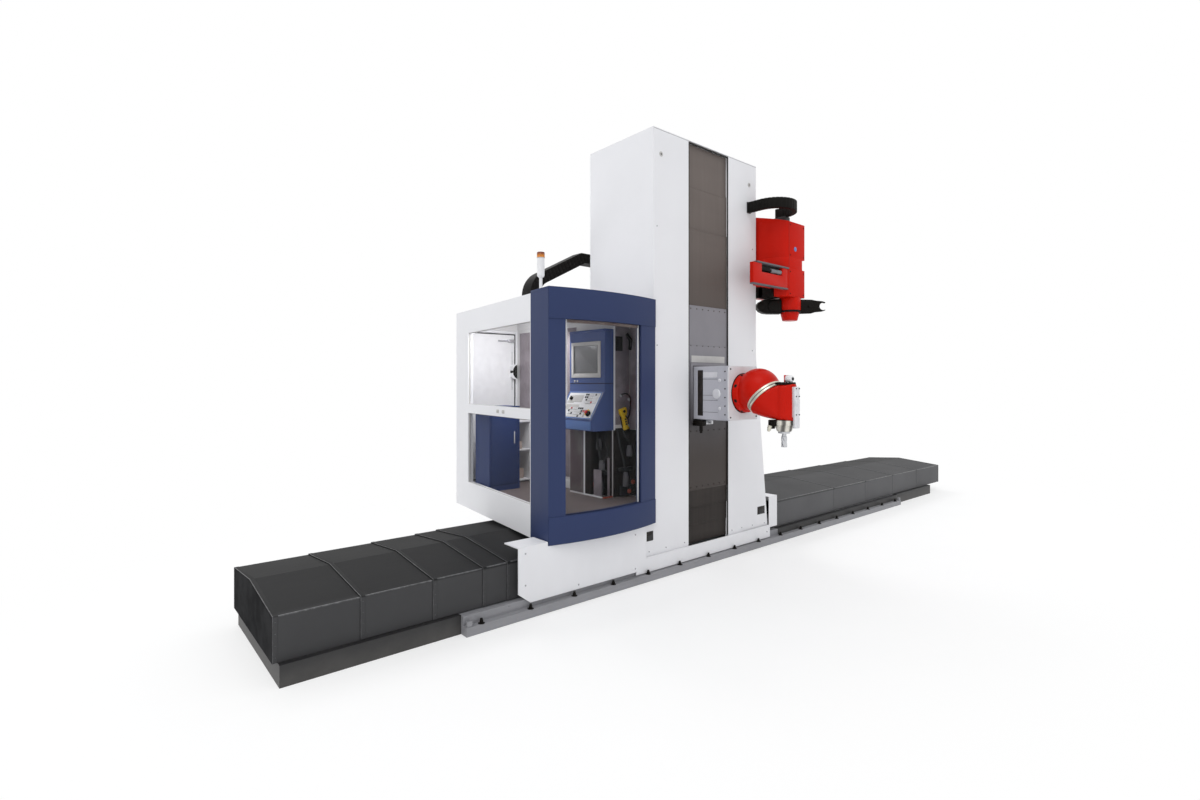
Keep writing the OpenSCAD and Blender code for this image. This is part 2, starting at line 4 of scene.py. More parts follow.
import bpy
import mathutils
import numpy as np
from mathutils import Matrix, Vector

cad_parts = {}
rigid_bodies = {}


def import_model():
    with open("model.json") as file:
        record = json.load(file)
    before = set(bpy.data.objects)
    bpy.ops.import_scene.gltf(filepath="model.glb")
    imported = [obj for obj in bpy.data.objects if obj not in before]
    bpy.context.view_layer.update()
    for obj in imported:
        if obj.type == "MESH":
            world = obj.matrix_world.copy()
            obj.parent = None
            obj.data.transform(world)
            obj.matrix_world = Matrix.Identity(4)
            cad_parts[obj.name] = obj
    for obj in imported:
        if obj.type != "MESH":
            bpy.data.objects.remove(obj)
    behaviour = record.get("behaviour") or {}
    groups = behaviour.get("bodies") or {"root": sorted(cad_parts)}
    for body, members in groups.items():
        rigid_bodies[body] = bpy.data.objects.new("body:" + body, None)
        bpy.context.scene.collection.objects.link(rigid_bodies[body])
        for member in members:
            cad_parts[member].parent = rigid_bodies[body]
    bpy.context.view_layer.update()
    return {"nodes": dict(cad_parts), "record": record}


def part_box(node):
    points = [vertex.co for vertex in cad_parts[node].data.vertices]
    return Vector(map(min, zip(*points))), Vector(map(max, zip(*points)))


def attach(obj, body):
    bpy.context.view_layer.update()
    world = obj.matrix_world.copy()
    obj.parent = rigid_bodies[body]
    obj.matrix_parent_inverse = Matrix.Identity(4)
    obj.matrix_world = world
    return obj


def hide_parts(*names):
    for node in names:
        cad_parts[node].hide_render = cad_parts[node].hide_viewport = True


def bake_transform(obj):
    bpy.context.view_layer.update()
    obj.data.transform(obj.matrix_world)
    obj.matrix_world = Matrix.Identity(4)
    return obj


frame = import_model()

bl_info = {
    "name": "Travelling Column Mill",
    "version": (1, 0, 0),
    "blender": (4, 5, 0),
    "location": "View3D > Sidebar > Mill",
    "description": "Finishes, trim and studio for a travelling column milling machine",
    "category": "Object",
}

X, Y, Z = np.eye(3)
FRONT = np.array([X, Z, -Y])  # axes for what is drawn on a face that looks along -Y
COLUMN_FRONT = float(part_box("column_left_cladding")[0][1])
CIRCLE = 2 * np.pi
RAM_AXIS = 2.087  # height of the ram's and the head flange's middle
SPINDLE_Y = -1.055  # where the upright spindle axis stands
SLOTS = {row["material_slot"] for row in frame["record"]["subparts"]}


def corners(node):
    """Lowest and highest corner of a CAD node, as arrays in metres."""
    low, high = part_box(node)
    return np.array(low, float), np.array(high, float)


def linear(code):
    """A six-digit sRGB code as linear light: the usual curve, worked out for all three at once."""
    value = np.array([int(code[i:i + 2], 16) for i in (0, 2, 4)]) / 255
    return tuple(np.where(value <= 0.04045, value / 12.92, ((value + 0.055) / 1.055) ** 2.4))


# ---------- sizes and colours ----------

def length(name, description, default):
    return bpy.props.FloatProperty(name=name, description=description, default=default,
                                   min=0.0, unit="LENGTH", subtype="DISTANCE")


def colour(name, description, code):
    return bpy.props.FloatVectorProperty(name=name, description=description,
                                         default=linear(code), size=3, min=0.0, max=1.0,
                                         subtype="COLOR")


class MillSizes(bpy.types.PropertyGroup):
    """Sizes of the trim, in metres."""
    lip_width: length("Cover lip", "Width of the folded lip at the end of a way cover", 0.036)
    lip_height: length("Lip height", "How far a cover lip stands off the sheet", 0.0025)
    screw: length("Screw head", "Radius of the head of a sheet metal screw", 0.007)
    seal: length("Window seal", "Width of the seal round a pane", 0.005)
    hose: length("Hose", "Radius of a fixed hose", 0.011)
    header_proud: length("Header", "How far the cabin header and sill stand proud", 0.008)
    chain_pitch: length("Chain pitch", "Length of one link of the high cable chain", 0.056)
    flat_pitch: length("Flat chain pitch", "Length of one link of the changer's chain", 0.047)
    link_gap: length("Link gap", "Gap between two links of the high cable chain", 0.006)
    floor_radius: length("Floor radius", "Radius of the studio floor", 60.0)


class MillColours(bpy.types.PropertyGroup):
    """Colours of the finishes."""
    white: colour("White sheet", "Powder coat of the column and skirt", "E7E7EA")
    cabin_blue: colour("Cabin blue", "Powder coat of the cabin frame", "323D60")
    console_blue: colour("Console blue", "Paint of the operator console", "4C5C8C")
    red: colour("Machine red", "Enamel of the head and the tool changer", "C41A0C")
    cover: colour("Way cover", "Dark sheet of the telescopic covers", "3D3D3E")
    rail: colour("Levelling rail", "Paint of the levelling rails", "8C8C90")
    iron: colour("Cast iron", "Painted casting inside the machine", "7E8084")
    slot: colour("Slot sheet", "Sheet in the slot of the column", "6A625E")
    plate: colour("Ram plate", "Brushed plate round the ram", "8E8C92")
    grey: colour("Grey paint", "Inner panels of the cabin", "D0CFCF")
    amber: colour("Amber lens", "Lens of the signal light", "C87818")
    yellow: colour("Pendant yellow", "Shell of the hand pendant", "DDB51C")


# ---------- shapes: an array of points and a list of face index arrays ----------

def outward(shape):
    """The same shape with its faces turned round where they enclose a negative volume: each
    face is fanned into triangles from its first corner, and the volume sums that corner times
    the cross product of the other two."""
    points, faces = shape
    centred, total = points - points.mean(0), 0.0
    for part in faces:
        corner = centred[part]
        total += np.sum(corner[:, :1] * np.cross(corner[:, 1:-1], corner[:, 2:]))
    return points, [part[:, ::-1] for part in faces] if total < 0 else faces


def join(*shapes):
    """Several shapes as one, each one's indices moved on by the points before it."""
    starts = np.cumsum([0] + [len(points) for points, _ in shapes])
    faces = [part + start for (_, parts), start in zip(shapes, starts) for part in parts]
    return np.concatenate([points for points, _ in shapes]), faces


def surface(points, around=True, closed=False, caps=True):
    """Quads over a grid of points, rows along and columns around; around joins the last column
    to the first, closed the last row to the first, and caps fill the first and last row."""
    rows, columns = points.shape[:2]
    i = np.arange(rows if closed else rows - 1)[:, None]
    j = np.arange(columns if around else columns - 1)[None]
    ahead, beside = (i + 1) % rows, (j + 1) % columns
    faces = [np.stack([i * columns + j, i * columns + beside, ahead * columns + beside,
                       ahead * columns + j], -1).reshape(-1, 4)]
    if caps and not closed:
        ring = np.arange(columns)
        faces += [ring[None, ::-1], (rows - 1) * columns + ring[None]]
    return points.reshape(-1, 3), faces


def unit(vectors):
    """Vectors along the last axis, made one long."""
    vectors = np.asarray(vectors, float)
    return vectors / np.linalg.norm(vectors, axis=-1, keepdims=True)


def spokes(count):
    """Evenly turned unit vectors in the plane: cosine and sine of every angle."""
    turn = np.arange(count) * CIRCLE / count
    return np.column_stack([np.cos(turn), np.sin(turn)])


def grid(*sides):
    """Every place with one of the given coordinates on each axis, the last axis fastest."""
    return np.stack(np.meshgrid(*sides, indexing="ij"), -1).reshape(-1, 3)


def axes(w):
    """Right-handed unit axes as rows, the third along w and the second near upright."""
    w = unit(w)
    u = unit(np.cross(X if abs(w @ Z) > 0.99 else Z, w))
    return np.array([u, np.cross(w, u), w])


def placed(shape, origin=(0, 0, 0), basis=np.eye(3)):
    """A shape turned so that its own axes become the rows of the basis, then moved."""
    points, faces = shape
    return points @ np.asarray(basis) + np.asarray(origin, float), faces


def scattered(shape, origins, basis=np.eye(3)):
    """One copy of a shape at every origin, made as one array of all points at once."""
    points, faces = placed(shape, basis=basis)
    origins = np.asarray(origins, float).reshape(-1, 3)
    shift = np.arange(len(origins))[:, None, None] * len(points)
    return ((origins[:, None] + points[None]).reshape(-1, 3),
            [(part[None] + shift).reshape(-1, part.shape[1]) for part in faces])


def mitred(outline, distance, before, after):
    """Corners moved along their mitres: the sum of the two edge normals over one plus their
    product."""
    return outline + distance * (before + after) / (1 + np.sum(before * after, 1))[:, None]


def left_of(edges):
    """The unit normal to the left of every edge in the plane."""
    edges = unit(edges)
    return np.stack([-edges[:, 1], edges[:, 0]], 1)


def inset(outline, distance):
    """A closed outline with every edge moved inwards."""
    normal = left_of(np.roll(outline, -1, 0) - outline)
    return mitred(outline, distance, np.roll(normal, 1, 0), normal)


def open_offset(path, distance):
    """An open path moved to its left, its ends straight out."""
    normal = left_of(np.diff(path, axis=0))
    return mitred(path, distance, np.vstack([normal[:1], normal]),
                  np.vstack([normal, normal[-1:]]))


def prism(outline, low, high, edge=0.003, steps=3):
    """An outline carried from low to high; near both ends it draws in along a quarter circle
    whose radius is edge, so every rim is rounded."""
    outline = np.asarray(outline, float)
    x, y = outline.T
    if np.sum(x * np.roll(y, -1) - np.roll(x, -1) * y) <= 0:
        outline = outline[::-1]
    turn = np.linspace(0, np.pi / 2, steps + 1)
    inwards, rise = edge * (1 - np.sin(turn)), edge * (1 - np.cos(turn))
    rows = [np.column_stack([inset(outline, d), np.full(len(outline), h)])
            for d, h in zip(np.r_[inwards, inwards[::-1]], np.r_[low + rise, high - rise[::-1]])]
    return outward(surface(np.array(rows)))


def rounded(low, high, radius, steps=4):
    """Outline of a rectangle whose corners are quarter circles of the radius."""
    low, high = np.asarray(low, float), np.asarray(high, float)
    radius = min(radius, 0.499 * min(high - low))
    turn = np.linspace(0, np.pi / 2, steps + 1)[None] + np.arange(4)[:, None] * np.pi / 2
    centre = np.array([high - radius, [low[0] + radius, high[1] - radius], low + radius,
                       [high[0] - radius, low[1] + radius]])
    bends = centre[:, None] + radius * np.stack([np.cos(turn), np.sin(turn)], -1)
    return bends.reshape(-1, 2)


def block(low, high, edge=0.003, corner=None):
    """A box with rounded edges: a rounded rectangle carried up with rounded rims."""
    low, high = np.minimum(low, high), np.maximum(low, high)
    edge = min(edge, 0.45 * min(high - low))
    return prism(rounded(low[:2], high[:2], corner or 1.3 * edge), low[2], high[2], edge)


def solid(*parts):
    """Parts as one shape. A part is a shape, or a box: three lowest and three highest
    coordinates, then the edge rounding and, where it is larger in plan, the corner radius."""
    return join(*[part if len(part) == 2 else block(part[:3], part[3:6], *part[6:])
                  for part in parts])


def lathe(profile, origin=(0, 0, 0), axis=Z, count=48, closed=False):
    """A profile of radius and height turned about an axis: each row is the circle
    radius times (cosine, sine) at its height; closed leaves the middle open."""
    radius, height = np.asarray(profile, float).T[:, :, None]
    cosine, sine = spokes(count).T
    points = np.stack([radius * cosine, radius * sine, height + 0 * cosine], -1)
    return placed(outward(surface(points, closed=closed)), origin, axes(axis))


def arc(centre, radius, start, end, steps=6):
    """Points on a circle between two angles in degrees."""
    turn = np.radians(np.linspace(start, end, steps + 1))
    return np.asarray(centre, float) + radius * np.column_stack([np.cos(turn), np.sin(turn)])


def smooth_path(points, count):
    """A curve through the points: on each span the cubic whose end slopes are half the chord
    between the neighbouring points, read at count even steps."""
    points = np.asarray(points, float)
    slope = np.gradient(points, axis=0)
    place = np.linspace(0, len(points) - 1, count)
    span = np.minimum(place.astype(int), len(points) - 2)
    t = (place - span)[:, None]
    a, b, m, n = points[span], points[span + 1], slope[span], slope[span + 1]
    return ((2 * t ** 3 - 3 * t ** 2 + 1) * a + (t ** 3 - 2 * t ** 2 + t) * m
            + (3 * t ** 2 - 2 * t ** 3) * b + (t ** 3 - t ** 2) * n)


def travelled(path):
    """The distance covered from the start of a path to each of its points."""
    return np.r_[0, np.cumsum(np.linalg.norm(np.diff(path, axis=0), axis=1))]


def tube(path, radius, count=10, ripple=0.0, pitch=0.02):
    """A circle carried along a path, square to its tangent; a ripple swells it with the sine
    of the distance travelled over the pitch."""
    tangent = unit(np.gradient(path, axis=0))
    u = unit(np.cross(tangent, np.linalg.svd(tangent)[2][-1]))
    v = np.cross(tangent, u)
    swell = radius * (1 + ripple * np.sin(CIRCLE * travelled(path) / pitch))[:, None, None]
    cosine, sine = spokes(count).T[:, None, :, None]
    return outward(surface(path[:, None] + swell * (cosine * u[:, None] + sine * v[:, None])))


def frame_band(low, high, width, depth, edge=0.002):
    """A rectangular ring in the plane: its section, a rounded rectangle of width by depth,
    carried round the four mitred corners."""
    outline = np.array([low, [high[0], low[1]], high, [low[0], high[1]]], float)
    section = rounded((0, 0), (width, depth), edge, 2)
    rows = [np.column_stack([inset(outline, s[0]), np.full(4, s[1])]) for s in section]
    return outward(surface(np.array(rows), closed=True))


def roof_band(path, low, high, inner, outer, edge=0.0008):
    """A flat section from low to high along X and from inner to outer off the sheet, carried
    over an open path in the YZ plane."""
    ring = [np.column_stack([np.full(len(path), x), open_offset(path, off)])
            for x, off in rounded((low, inner), (high, outer), edge, 2)]
    return outward(surface(np.stack(ring, 1)))


def screw_head(radius):
    """A socket screw head seen from outside: rim, flat top and a socket."""
    profile = ((1, 0), (1, 0.75), (0.9, 0.85), (0.55, 0.85), (0.5, 0.3), (0.02, 0.3))
    return lathe(radius * np.array(profile), count=12)


def screws(places, out, radius=None):
    """Socket screws at the places, their heads pointing out."""
    radius = radius or bpy.context.scene.mill_sizes.screw
    return scattered(screw_head(radius), places, axes(out))


# ---------- from shapes to pieces ----------

# Slots of the record for finishes that the record doesn't have, and for single pieces.
NEAREST_SLOT = {"dark_end": "cover_sheet", "cabinet_paint": "blue_paint",
                **dict.fromkeys(("pale_plate", "bright_steel", "warm_steel"), "ground_steel"),
                **dict.fromkeys(("brown_edge", "lamp_panel", "wall_paint"), "grey_paint"),
                **dict.fromkeys(("light_blue", "pedestal"), "console_paint")}
OWN_SLOT = {"ram_plate_band": "brushed_plate", "recess_valves": "dark_paint",
            "shift_box_plates": "dark_paint", "shift_cylinder": "ground_steel"}


def linked(made):
    bpy.context.scene.collection.objects.link(made)
    return made


def meshed(name, shape, material):
    """A shape as the mesh of an object that stays at the origin."""
    points, faces = shape
    mesh = bpy.data.meshes.new(name)
    mesh.from_pydata(points.tolist(), [], [row for part in faces for row in part.tolist()])
    mesh.materials.append(material)
    return linked(bpy.data.objects.new(name, mesh))


def piece(name, shape, finish, body="column", crease=40, stands_for=()):
    """Makes a shape an object, shades it smooth up to the crease angle and lets it ride on a
    CAD body; given two bodies it stays fixed where it is. It looks up the slot of its finish or
    the nearest one but does not give it that slot."""
    made = meshed(name, shape, finishes()[finish])
    mesh = made.data
    mesh.polygons.foreach_set("use_smooth", np.ones(len(mesh.polygons), bool))
    mesh.set_sharp_from_angle(angle=math.radians(crease))
    if isinstance(body, tuple):
        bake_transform(made)
    else:
        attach(made, body)
    slot = OWN_SLOT.get(name, NEAREST_SLOT.get(finish, finish))
    slot in SLOTS
    if stands_for:
        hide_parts(*stands_for)
    return made


def pieces(body, *rows):
    """Pieces that ride on one body; a row has a name, a finish and the parts it is made of."""
    for name, finish, *parts in rows:
        piece(name, solid(*parts), finish, body)


# ---------- shader maths ----------

class Socket:
    """A node's output that can stand in an expression; every operator adds one Math node."""

    def __init__(self, graph, output):
        self.graph, self.output = graph, output

    def math(self, operation, *values):
        return self.graph.node("ShaderNodeMath", {"operation": operation},
                               dict(enumerate(values)))

    def __add__(self, other):
        return self.math("ADD", self, other)

    def __sub__(self, other):
        return self.math("SUBTRACT", self, other)

    def __rsub__(self, other):
        return self.math("SUBTRACT", other, self)

    def __mul__(self, other):
        return self.math("MULTIPLY", self, other)

    def __pow__(self, other):
        return self.math("POWER", self, other)

    __radd__ = __add__
    __rmul__ = __mul__

    def wave(self):
        return self.math("SINE", self)

    def step(self, low, high):
        """Rises smoothly from nothing at low to one at high."""
        return self.graph.node("ShaderNodeMapRange", {"interpolation_type": "SMOOTHSTEP"},
                               {"Value": self, "From Min": low, "From Max": high})


class Graph:
    """A node tree, with Object coordinates to draw its patterns on."""

    def __init__(self, owner):
        owner.use_nodes = True
        self.tree = owner.node_tree
        self.tree.nodes.clear()
        self.place = self.node("ShaderNodeTexCoord", out="Object")

    def node(self, kind, settings=None, values=None, out=0):
        """Adds a node, sets its settings, then gives each socket its value or its link."""
        made = self.tree.nodes.new(kind)
        for key, value in (settings or {}).items():
            setattr(made, key, value)
        for key, value in (values or {}).items():
            if isinstance(value, Socket):
                self.tree.links.new(value.output, made.inputs[key])
            else:
                made.inputs[key].default_value = value
        return Socket(self, made.outputs[out]) if made.outputs else made

    def noise(self, scale, detail=3.0, roughness=0.5, stretch=None):
        """Cloudy noise on the object's own place, drawn out where stretch is below one."""
        place = self.place if stretch is None else self.node(
            "ShaderNodeMapping", None, {"Vector": self.place, "Scale": stretch})
        return self.node("ShaderNodeTexNoise", None, {"Vector": place, "Scale": scale,
                                                      "Detail": detail, "Roughness": roughness})

    def cells(self, scale):
        """Distance to the nearest of many scattered points."""
        return self.node("ShaderNodeTexVoronoi", None, {"Vector": self.place, "Scale": scale})

    def along(self, axis):
        """The height along one axis of the object, in metres."""
        return self.node("ShaderNodeSeparateXYZ", None, {"Vector": self.place}, axis)

    def seen(self):
        """One for what the camera sees straight, mirrored or through glass, else nothing."""
        ways = [self.node("ShaderNodeLightPath", out=f"Is {kind} Ray")
                for kind in ("Camera", "Glossy", "Transmission")]
        return ways[0] + ways[1] + ways[2]

    def mix(self, base, *layers):
        """A colour that turns into the colour of each layer in turn as the layer's share goes
        from nothing to one."""
        for share, shade in layers:
            low, high = (part if isinstance(part, Socket) else (*as_shade(part), 1)
                         for part in (base, shade))
            base = self.node("ShaderNodeMix", {"data_type": "RGBA"},
                             {"Factor": share, 6: low, 7: high}, 2)
        return base

    def bump(self, height, distance, strength):
        return self.node("ShaderNodeBump", None,
                         {"Height": height, "Distance": distance, "Strength": strength})

    def finish(self, colour, roughness, bumps=None, **values):
        """The surface itself: colour, roughness, the height, distance and strength of its
        bump, and for any other socket the value of that name."""
        values = {key.replace("_", " ").title().replace("Ior", "IOR"): value
                  for key, value in values.items()}
        values.update({"Base Color": colour, "Roughness": roughness})
        if bumps:
            values["Normal"] = self.bump(*bumps)
        shader = self.node("ShaderNodeBsdfPrincipled", None, values)
        self.node("ShaderNodeOutputMaterial", None, {"Surface": shader})


def as_shade(value):
    return linear(value) if isinstance(value, str) else value


def tone(shade, factor):
    """A colour made lighter or darker by a factor."""
    return tuple(min(1.0, float(part) * factor) for part in as_shade(shade))


# ---------- finishes ----------

def powder_coat(g, shade, gloss, shine=0.25):
    """Powder coat: fine orange peel, faint clouds in its tone and a hand-wiped roughness."""
    clouds, peel, wiped = g.noise(1.7, 4), g.noise(260, 2), g.noise(9, 5, 0.6, (1, 1, 0.35))
    low_dust = 1 - g.along("Z").step(0.05, 0.9)
    base = g.mix(tone(shade, 0.965), (clouds, tone(shade, 1.03)),
                 (low_dust * wiped * 0.25, tone(shade, 0.72)))
    g.finish(base, wiped * 0.12 + (gloss - 0.05), (peel, 0.0006, 0.35),
             specular_ior_level=shine)


def enamel(g, shade):
    """Thick gloss enamel over a casting: slow waves under a clear coat, darker in hollows."""
    casting, clouds = g.noise(22, 3), g.noise(3.5, 4)
    base = g.mix(tone(shade, 0.9), (clouds, tone(shade, 1.06)))
    base = g.mix(tone(shade, 0.6), (g.cells(180).step(0.0, 0.16), base))
    g.finish(base, clouds * 0.1 + 0.3, (casting, 0.004, 0.3), specular_ior_level=0.08,
             coat_weight=0.03, coat_roughness=0.1)


def cover_sheet(g, shade):
    """Dark blued steel sheet: fine rolling lines along its length, oil clouds and scuffs. Painted
    light
    and shade: upright sides lighter, lids and back slope darker, right-hand covers paler."""
    rolling, oil = g.noise(3, 6, 0.7, (0.6, 60, 60)), g.noise(1.3, 5, 0.6)
    scuffs = g.noise(14, 8, 0.75, (1, 4, 4)).step(0.56, 0.72)
    # lid and behind mark the painted shade on the lids and on the back slope; right marks the
    # painted light on the right-hand covers.
    lid, right = g.along("Z").step(0.495, 0.515), g.along("X").step(0.5, 1.5)
    behind = g.along("Y").step(0.868, 0.88) * lid
    # Lit and shaded tones of one sheet: painted light on the upright sides, painted shade on the
    # lids.
    left_painted_light_and_shade = g.mix(tone(shade, 1.5), (lid, tone(shade, 0.42)))
    right_painted_light_and_shade = g.mix(tone(shade, 3.0), (lid, tone(shade, 1.6)))
    base = g.mix(left_painted_light_and_shade, (right, right_painted_light_and_shade), (behind * 0.6, tone(shade, 0.12)),
                 (oil * 0.35, tone(shade, 0.5)), (scuffs * 0.12, tone(shade, 1.6)))
    g.finish(base, rolling * 0.14 + oil * 0.12 + 0.42, (rolling, 0.0008, 0.25),
             specular_ior_level=0.06)


def worn_edge(g):
    """Folded sheet edge, worn lighter and painted lighter still as a highlight, dark again in the
    noise's low places.
    """
    # The lighter dashes are partly wear and partly a painted highlight.
    worn_highlight = g.noise(26, 6, 0.7, (1, 0.4, 0.4)).step(0.35, 0.75)
    g.finish(g.mix("39393B", (worn_highlight, "666668")), 0.42 + worn_highlight * -0.08,
             metallic=worn_highlight * 0.3 + 0.1)


def rail_paint(g, shade):
    """Grey machine paint on a milled rail: brushed clouds, chips down to darker iron."""
    brushed = g.noise(5, 6, 0.65, (0.5, 8, 8))
    chips, oil = g.noise(34, 5, 0.7).step(0.66, 0.7), g.noise(1.9, 4).step(0.45, 0.75)
    base = g.mix(tone(shade, 0.82), (brushed, tone(shade, 1.12)),
                 (oil * 0.35, tone(shade, 0.6)), (chips * 0.6, "4B4A49"))
    g.finish(base, brushed * 0.2 + 0.38, (chips * -0.5 + brushed * 0.2, 0.0012, 0.5))


def dark_paint(g):
    """Satin dark grey paint of plinths and brackets, dusty towards the floor."""
    clouds = g.noise(4, 5, 0.6)
    dust = (1 - g.along("Z").step(0.0, 0.22)) * clouds
    g.finish(g.mix("18181A", (clouds, "202022"), (dust * 0.5, "6E6B67")),
             clouds * 0.15 + 0.45, (g.noise(240, 2), 0.0006, 0.4))


def slot_sheet(g, shade):
    """Thin sliding sheet: upright brush lines, oil streaks, soft painted reflections in bands and
    painted shade that darkens it towards the bottom.
    """
    brush, streak = g.noise(4, 7, 0.75, (90, 90, 0.35)), g.noise(2.2, 5, 0.6, (9, 9, 0.5))
    bands = g.noise(1.1, 3, 0.5, (0.3, 0.3, 2.2)).step(0.4, 0.7)
    # Much darker towards the bottom: painted shade; the bands are painted reflections.
    base = g.mix(tone(shade, 0.15), (g.along("Z").step(1.0, 4.7), tone(shade, 1.2)),
                 (streak * 0.35, tone(shade, 0.62)), (bands * 0.25, tone(shade, 0.7)))
    g.finish(base, brush * 0.14 + streak * 0.16 + 0.3, (brush, 0.0004, 0.3),
             specular_ior_level=0.1)


def brushed_plate(g, shade):
    """Stainless plate brushed upright, with painted shade below the ram that turns dark and warm
    towards its foot.
    """
    brush, clouds = g.noise(5, 8, 0.8, (70, 70, 0.5)), g.noise(2.4, 4, 0.6)
    # Below the ram the plate is painted much darker, and dark brown near its foot: painted shade
    # under the ram.
    base = g.mix(tone(shade, 0.34), (g.along("Z").step(1.75, 2.35), tone(shade, 0.9)),
                 (clouds.step(0.35, 0.75) * 0.3, tone(shade, 0.7)))
    g.finish(g.mix("3D3633", (g.along("Z").step(1.2, 2.1), base)),
             brush * 0.16 + clouds * 0.1 + 0.26, (brush, 0.0004, 0.35), metallic=0.2,
             specular_ior_level=0.35)


def machined_iron(g):
    """Planed and scraped iron: crossing scraper marks over planing lines."""
    planing, scraping = g.noise(6, 6, 0.7, (0.8, 0.8, 50)), g.cells(60)
    base = g.mix("A6A6AE", (planing, "BEBEC6"), (scraping.step(0.2, 0.55) * 0.2, "BDBDC4"))
    g.finish(base, planing * 0.15 + 0.34, (scraping * 0.3 + planing * 0.4, 0.0006, 0.4),
             metallic=0.2)


def ground_steel(g, shade, gloss=0.2):
    """Ground bright steel: very fine rings of grinding and a warm stain here and there."""
    grinding, stain = g.noise(240, 3, 0.6, (0.2, 0.2, 3)), g.noise(11, 4, 0.6)
    g.finish(g.mix(shade, (stain.step(0.55, 0.8) * 0.5, tone(shade, 0.72))),
             grinding * 0.1 + gloss, (grinding, 0.0003, 0.25), metallic=0.6)


def cast_iron(g, shade):
    """Sand-cast surface under grey primer: pitted bump and blotched tone."""
    sand = g.noise(95, 6, 0.7)
    g.finish(g.mix(tone(shade, 0.8), (g.noise(3, 4), tone(shade, 1.1))),
             sand * 0.2 + 0.5, (sand, 0.003, 0.5))


def plastic(g, shade, gloss=0.4, grain=700, shine=0.4):
    """Moulded plastic: spark-eroded grain and a faint flow mottle."""
    flow = g.noise(13, 3)
    g.finish(g.mix(tone(shade, 0.9), (flow, tone(shade, 1.1))), flow * 0.1 + gloss,
             (g.cells(grain), 0.0003, 0.35), specular_ior_level=shine)


def rubber(g):
    """Matt black rubber with bloom in patches."""
    bloom = g.noise(30, 5, 0.7)
    g.finish(g.mix("141414", (bloom, "2A2A2B")), bloom * 0.15 + 0.6,
             (g.noise(320, 3), 0.0006, 0.5))


def black_steel(g):
    """Blackened steel: warm black with a soft sheen and worn points."""
    worn = g.noise(38, 6, 0.7).step(0.62, 0.76)
    g.finish(g.mix("110E0B", (worn * 0.4, "2E2A26")), 0.45 + worn * -0.1,
             (g.noise(150, 3), 0.0008, 0.35), specular_ior_level=0.12)


def pane(g):
    """Safety glass: nearly clear, with faint wiping marks that catch the light."""
    wiping = g.noise(5, 6, 0.7, (1, 1, 0.3)).step(0.5, 0.85)
    g.finish((0.02, 0.025, 0.03, 1), wiping * 0.1 + 0.04, alpha=wiping * 0.025 + 0.06,
             specular_ior_level=0.5)


def tread_floor(g):
    """Ribbed floor covering: small raised studs in rows on a brown-grey rubber."""
    x, y = g.along("X") * 210, g.along("Y") * 210
    studs, dirt = (x.wave() * y.wave()).step(0.25, 0.75), g.noise(7, 5, 0.65)
    g.finish(g.mix("5C5252", (dirt, "7A6F6D"), (studs * 0.35, "8E8482")), dirt * 0.2 + 0.45,
             (studs, 0.0015, 0.6))


def screen_glass(g):
    """Unlit flat display: dark glass with a painted reflection that lightens it towards its upper
    edge.
    """
    g.finish(g.mix("58585A", (g.along("Z").step(2.25, 2.75), "78787A")),
             g.cells(900) * 0.06 + 0.22, coat_weight=0.4, coat_roughness=0.05)


def turned_steel(g):
    """Turned bright steel of the spindle nose, with upright bands of light and dark that are
    painted reflections.
    """
    across = g.along("X") * 0.76 - (g.along("Y") - SPINDLE_Y) * 0.65
    # bands: painted reflections, light and dark, across the nose.
    bands, rings = (across * 70 + 1.1).wave(), g.noise(30, 3, 0.6, (0.2, 0.2, 9))
    base = g.mix("5F5C58", (bands.step(-0.9, 0.7), "E9E5DA"),
                 (rings.step(0.45, 0.7) * 0.3, "8A8780"))
    g.finish(base, rings * 0.1 + 0.3, (rings, 0.0003, 0.3), metallic=0.2)


def lens(g, shade):
    """Moulded signal lens: fine rings inside a coloured shell, dark towards its cap."""
    height = g.along("Z")
    ribs = (height * 900).wave()
    base = g.mix(tone(shade, 0.8), (ribs.step(-1, 1), tone(shade, 1.25)),
                 (height.step(3.59, 3.635), "6A2A12"))
    g.finish(base, ribs * 0.03 + 0.22, (ribs, 0.001, 0.4), emission_color=base,
             emission_strength=0.12)


def hatched(g, dark, light, scale=14, shine=0.3):
    """Two tones in soft patches, for cables, cast parts and shadows inside the machine."""
    patch = g.noise(scale, 5, 0.65)
    g.finish(g.mix(dark, (patch.step(0.35, 0.68), light)), patch * 0.2 + 0.42,
             (patch, 0.002, 0.4), specular_ior_level=shine)


MADE = {}


